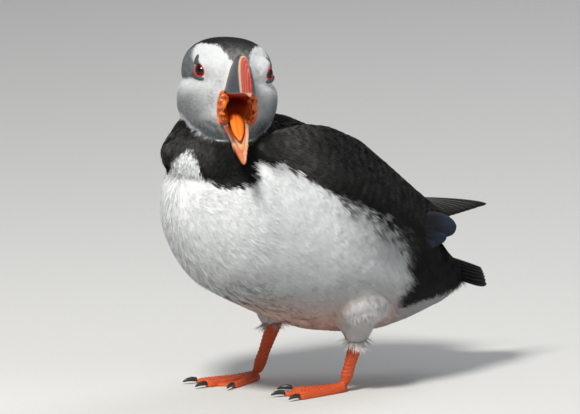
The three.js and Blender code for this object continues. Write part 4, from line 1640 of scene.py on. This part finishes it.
class PUFFIN_OT_bill(bpy.types.Operator):
    """Makes the banded upper and lower bill"""

    bl_idname = "puffin.bill"
    bl_label = "Bill"

    def execute(self, context):
        linings = {"upper": colours().palate, "lower": colours().gape}
        skin = skin_tree(bpy.data.objects["skin"])
        for half, bands in (("upper", UPPER_BANDS), ("lower", LOWER_BANDS)):
            piece = build_bill(half, bands, skin)
            finish = bill_finish("bill_" + half, linings[half])
            piece.name = "horn_" + half
            dress(piece, finish, "bill_horn", "bill_" + half)
        return {"FINISHED"}


class PUFFIN_OT_mouth(bpy.types.Operator):
    """Makes the tongue and the wrinkled rosettes at the corners of the mouth"""

    bl_idname = "puffin.mouth"
    bl_label = "Mouth"

    def execute(self, context):
        # Deep is the painted shade in the rosettes' creases, pale the painted light on their folds.
        rosettes = mouth_finish("rosettes", (0.19, 0.011, 0.0008), (0.62, 0.14, 0.001))
        for side in SIDES:
            piece = build_gape(side)
            piece.name = "rosette_" + side
            dress(piece, rosettes, "mouth_skin", "gape_" + side)
        tongue = build_tongue()
        tongue.name = "tongue_skin"
        # Deep is the painted shade of the tongue's base, pale its lit tip.
        finish = mouth_finish("tongue", (0.66, 0.085, 0.004), (0.78, 0.18, 0.018))
        dress(tongue, finish, "mouth_skin", "tongue")
        return {"FINISHED"}


class PUFFIN_OT_eyes(bpy.types.Operator):
    """Makes the eyeballs, the red rings and the horny plates by the eyes"""

    bl_idname = "puffin.eyes"
    bl_label = "Eyes"

    def execute(self, context):
        ring = lid_finish("eye_rings", colours().eye_ring, (0.46, 0.016, 0.006))
        horn = lid_finish("eye_plates", (0.028, 0.035, 0.045), (0.055, 0.065, 0.08))
        tree = skin_tree(bpy.data.objects["skin"])
        ball = eye_finish()
        for side in SIDES:
            dress(build_eyeball(side), ball, "eye", "eye_" + side)
            dress(build_eye_ring(side), ring, "leg_skin")
            dress(build_plate("eye_plate_upper_" + side, side, UPPER_PLATE, tree), horn, "bill_horn")
            dress(build_plate("eye_plate_lower_" + side, side, LOWER_PLATE, tree), horn, "bill_horn")
        return {"FINISHED"}


class PUFFIN_OT_legs(bpy.types.Operator):
    """Makes the scaly shanks, webbed feet and claws"""

    bl_idname = "puffin.legs"
    bl_label = "Legs"

    def execute(self, context):
        scaly, horn = leg_finish(), claw_finish()
        for side in SIDES:
            dress(build_leg(side), scaly, "leg_skin", "tarsus_" + side, "foot_" + side)
            claws = [f"claw_{side}_{toe}" for toe in ("inner", "middle", "outer")]
            piece = smoothed_node("claws_" + side, claws, voxel=0.25, rounds=4)
            dress(piece, horn, "claw", *claws)
        return {"FINISHED"}


class PUFFIN_OT_flight(bpy.types.Operator):
    """Makes the long feathers of the wings and tail"""

    bl_idname = "puffin.flight"
    bl_label = "Flight feathers"

    def execute(self, context):
        brown = flight_finish("long_feathers", (0.004, 0.004, 0.004), (0.012, 0.010, 0.008), (0.13, 0.115, 0.10))
        black = flight_finish("tail_feathers", (0.003, 0.003, 0.003), (0.006, 0.006, 0.006), (0.020, 0.019, 0.018))
        # The inner feathers are black; their blue-grey towards the tips and edges is painted sheen, the sky reflected.
        black_with_painted_sheen = flight_finish("inner_feathers", (0.004, 0.005, 0.007), (0.024, 0.036, 0.075), (0.022, 0.030, 0.056))
        tree = skin_tree(bpy.data.objects["skin"])
        for side in SIDES:
            dress(build_primaries(side), brown, "plumage_black", "primaries_" + side)
            dress(build_wing_end(side, tree), black_with_painted_sheen, "plumage_black")
        dress(build_tail(), black, "plumage_black", "tail")
        return {"FINISHED"}


class PUFFIN_PT_panel(bpy.types.Panel):
    """Buttons for each group of the puffin's pieces"""

    bl_idname = "PUFFIN_PT_panel"
    bl_label = "Puffin"
    bl_space_type = "VIEW_3D"
    bl_region_type = "UI"
    bl_category = "Puffin"

    def draw(self, context):
        for settings in (context.scene.puffin_colours, context.scene.puffin_coat, context.scene.puffin_stage):
            box = self.layout.box()
            for name in settings.__annotations__:
                box.prop(settings, name)
        for operator in OPERATORS:
            self.layout.operator(operator.bl_idname)


OPERATORS = (
    PUFFIN_OT_stage, PUFFIN_OT_plumage, PUFFIN_OT_bill, PUFFIN_OT_mouth, PUFFIN_OT_eyes,
    PUFFIN_OT_legs, PUFFIN_OT_flight,
)
SETTINGS = {"puffin_colours": PuffinColours, "puffin_coat": PuffinCoat, "puffin_stage": PuffinStage}


def register():
    for made in (*SETTINGS.values(), *OPERATORS, PUFFIN_PT_panel):
        bpy.utils.register_class(made)
    for name, group in SETTINGS.items():
        setattr(bpy.types.Scene, name, PointerProperty(type=group))


def unregister():
    for name in SETTINGS:
        delattr(bpy.types.Scene, name)
    for made in (PUFFIN_PT_panel, *reversed(OPERATORS), *reversed(SETTINGS.values())):
        bpy.utils.unregister_class(made)


def main():
    register()
    for operator in OPERATORS:
        module, name = operator.bl_idname.split(".")
        getattr(getattr(bpy.ops, module), name)()


if __name__ == "__main__":
    main()
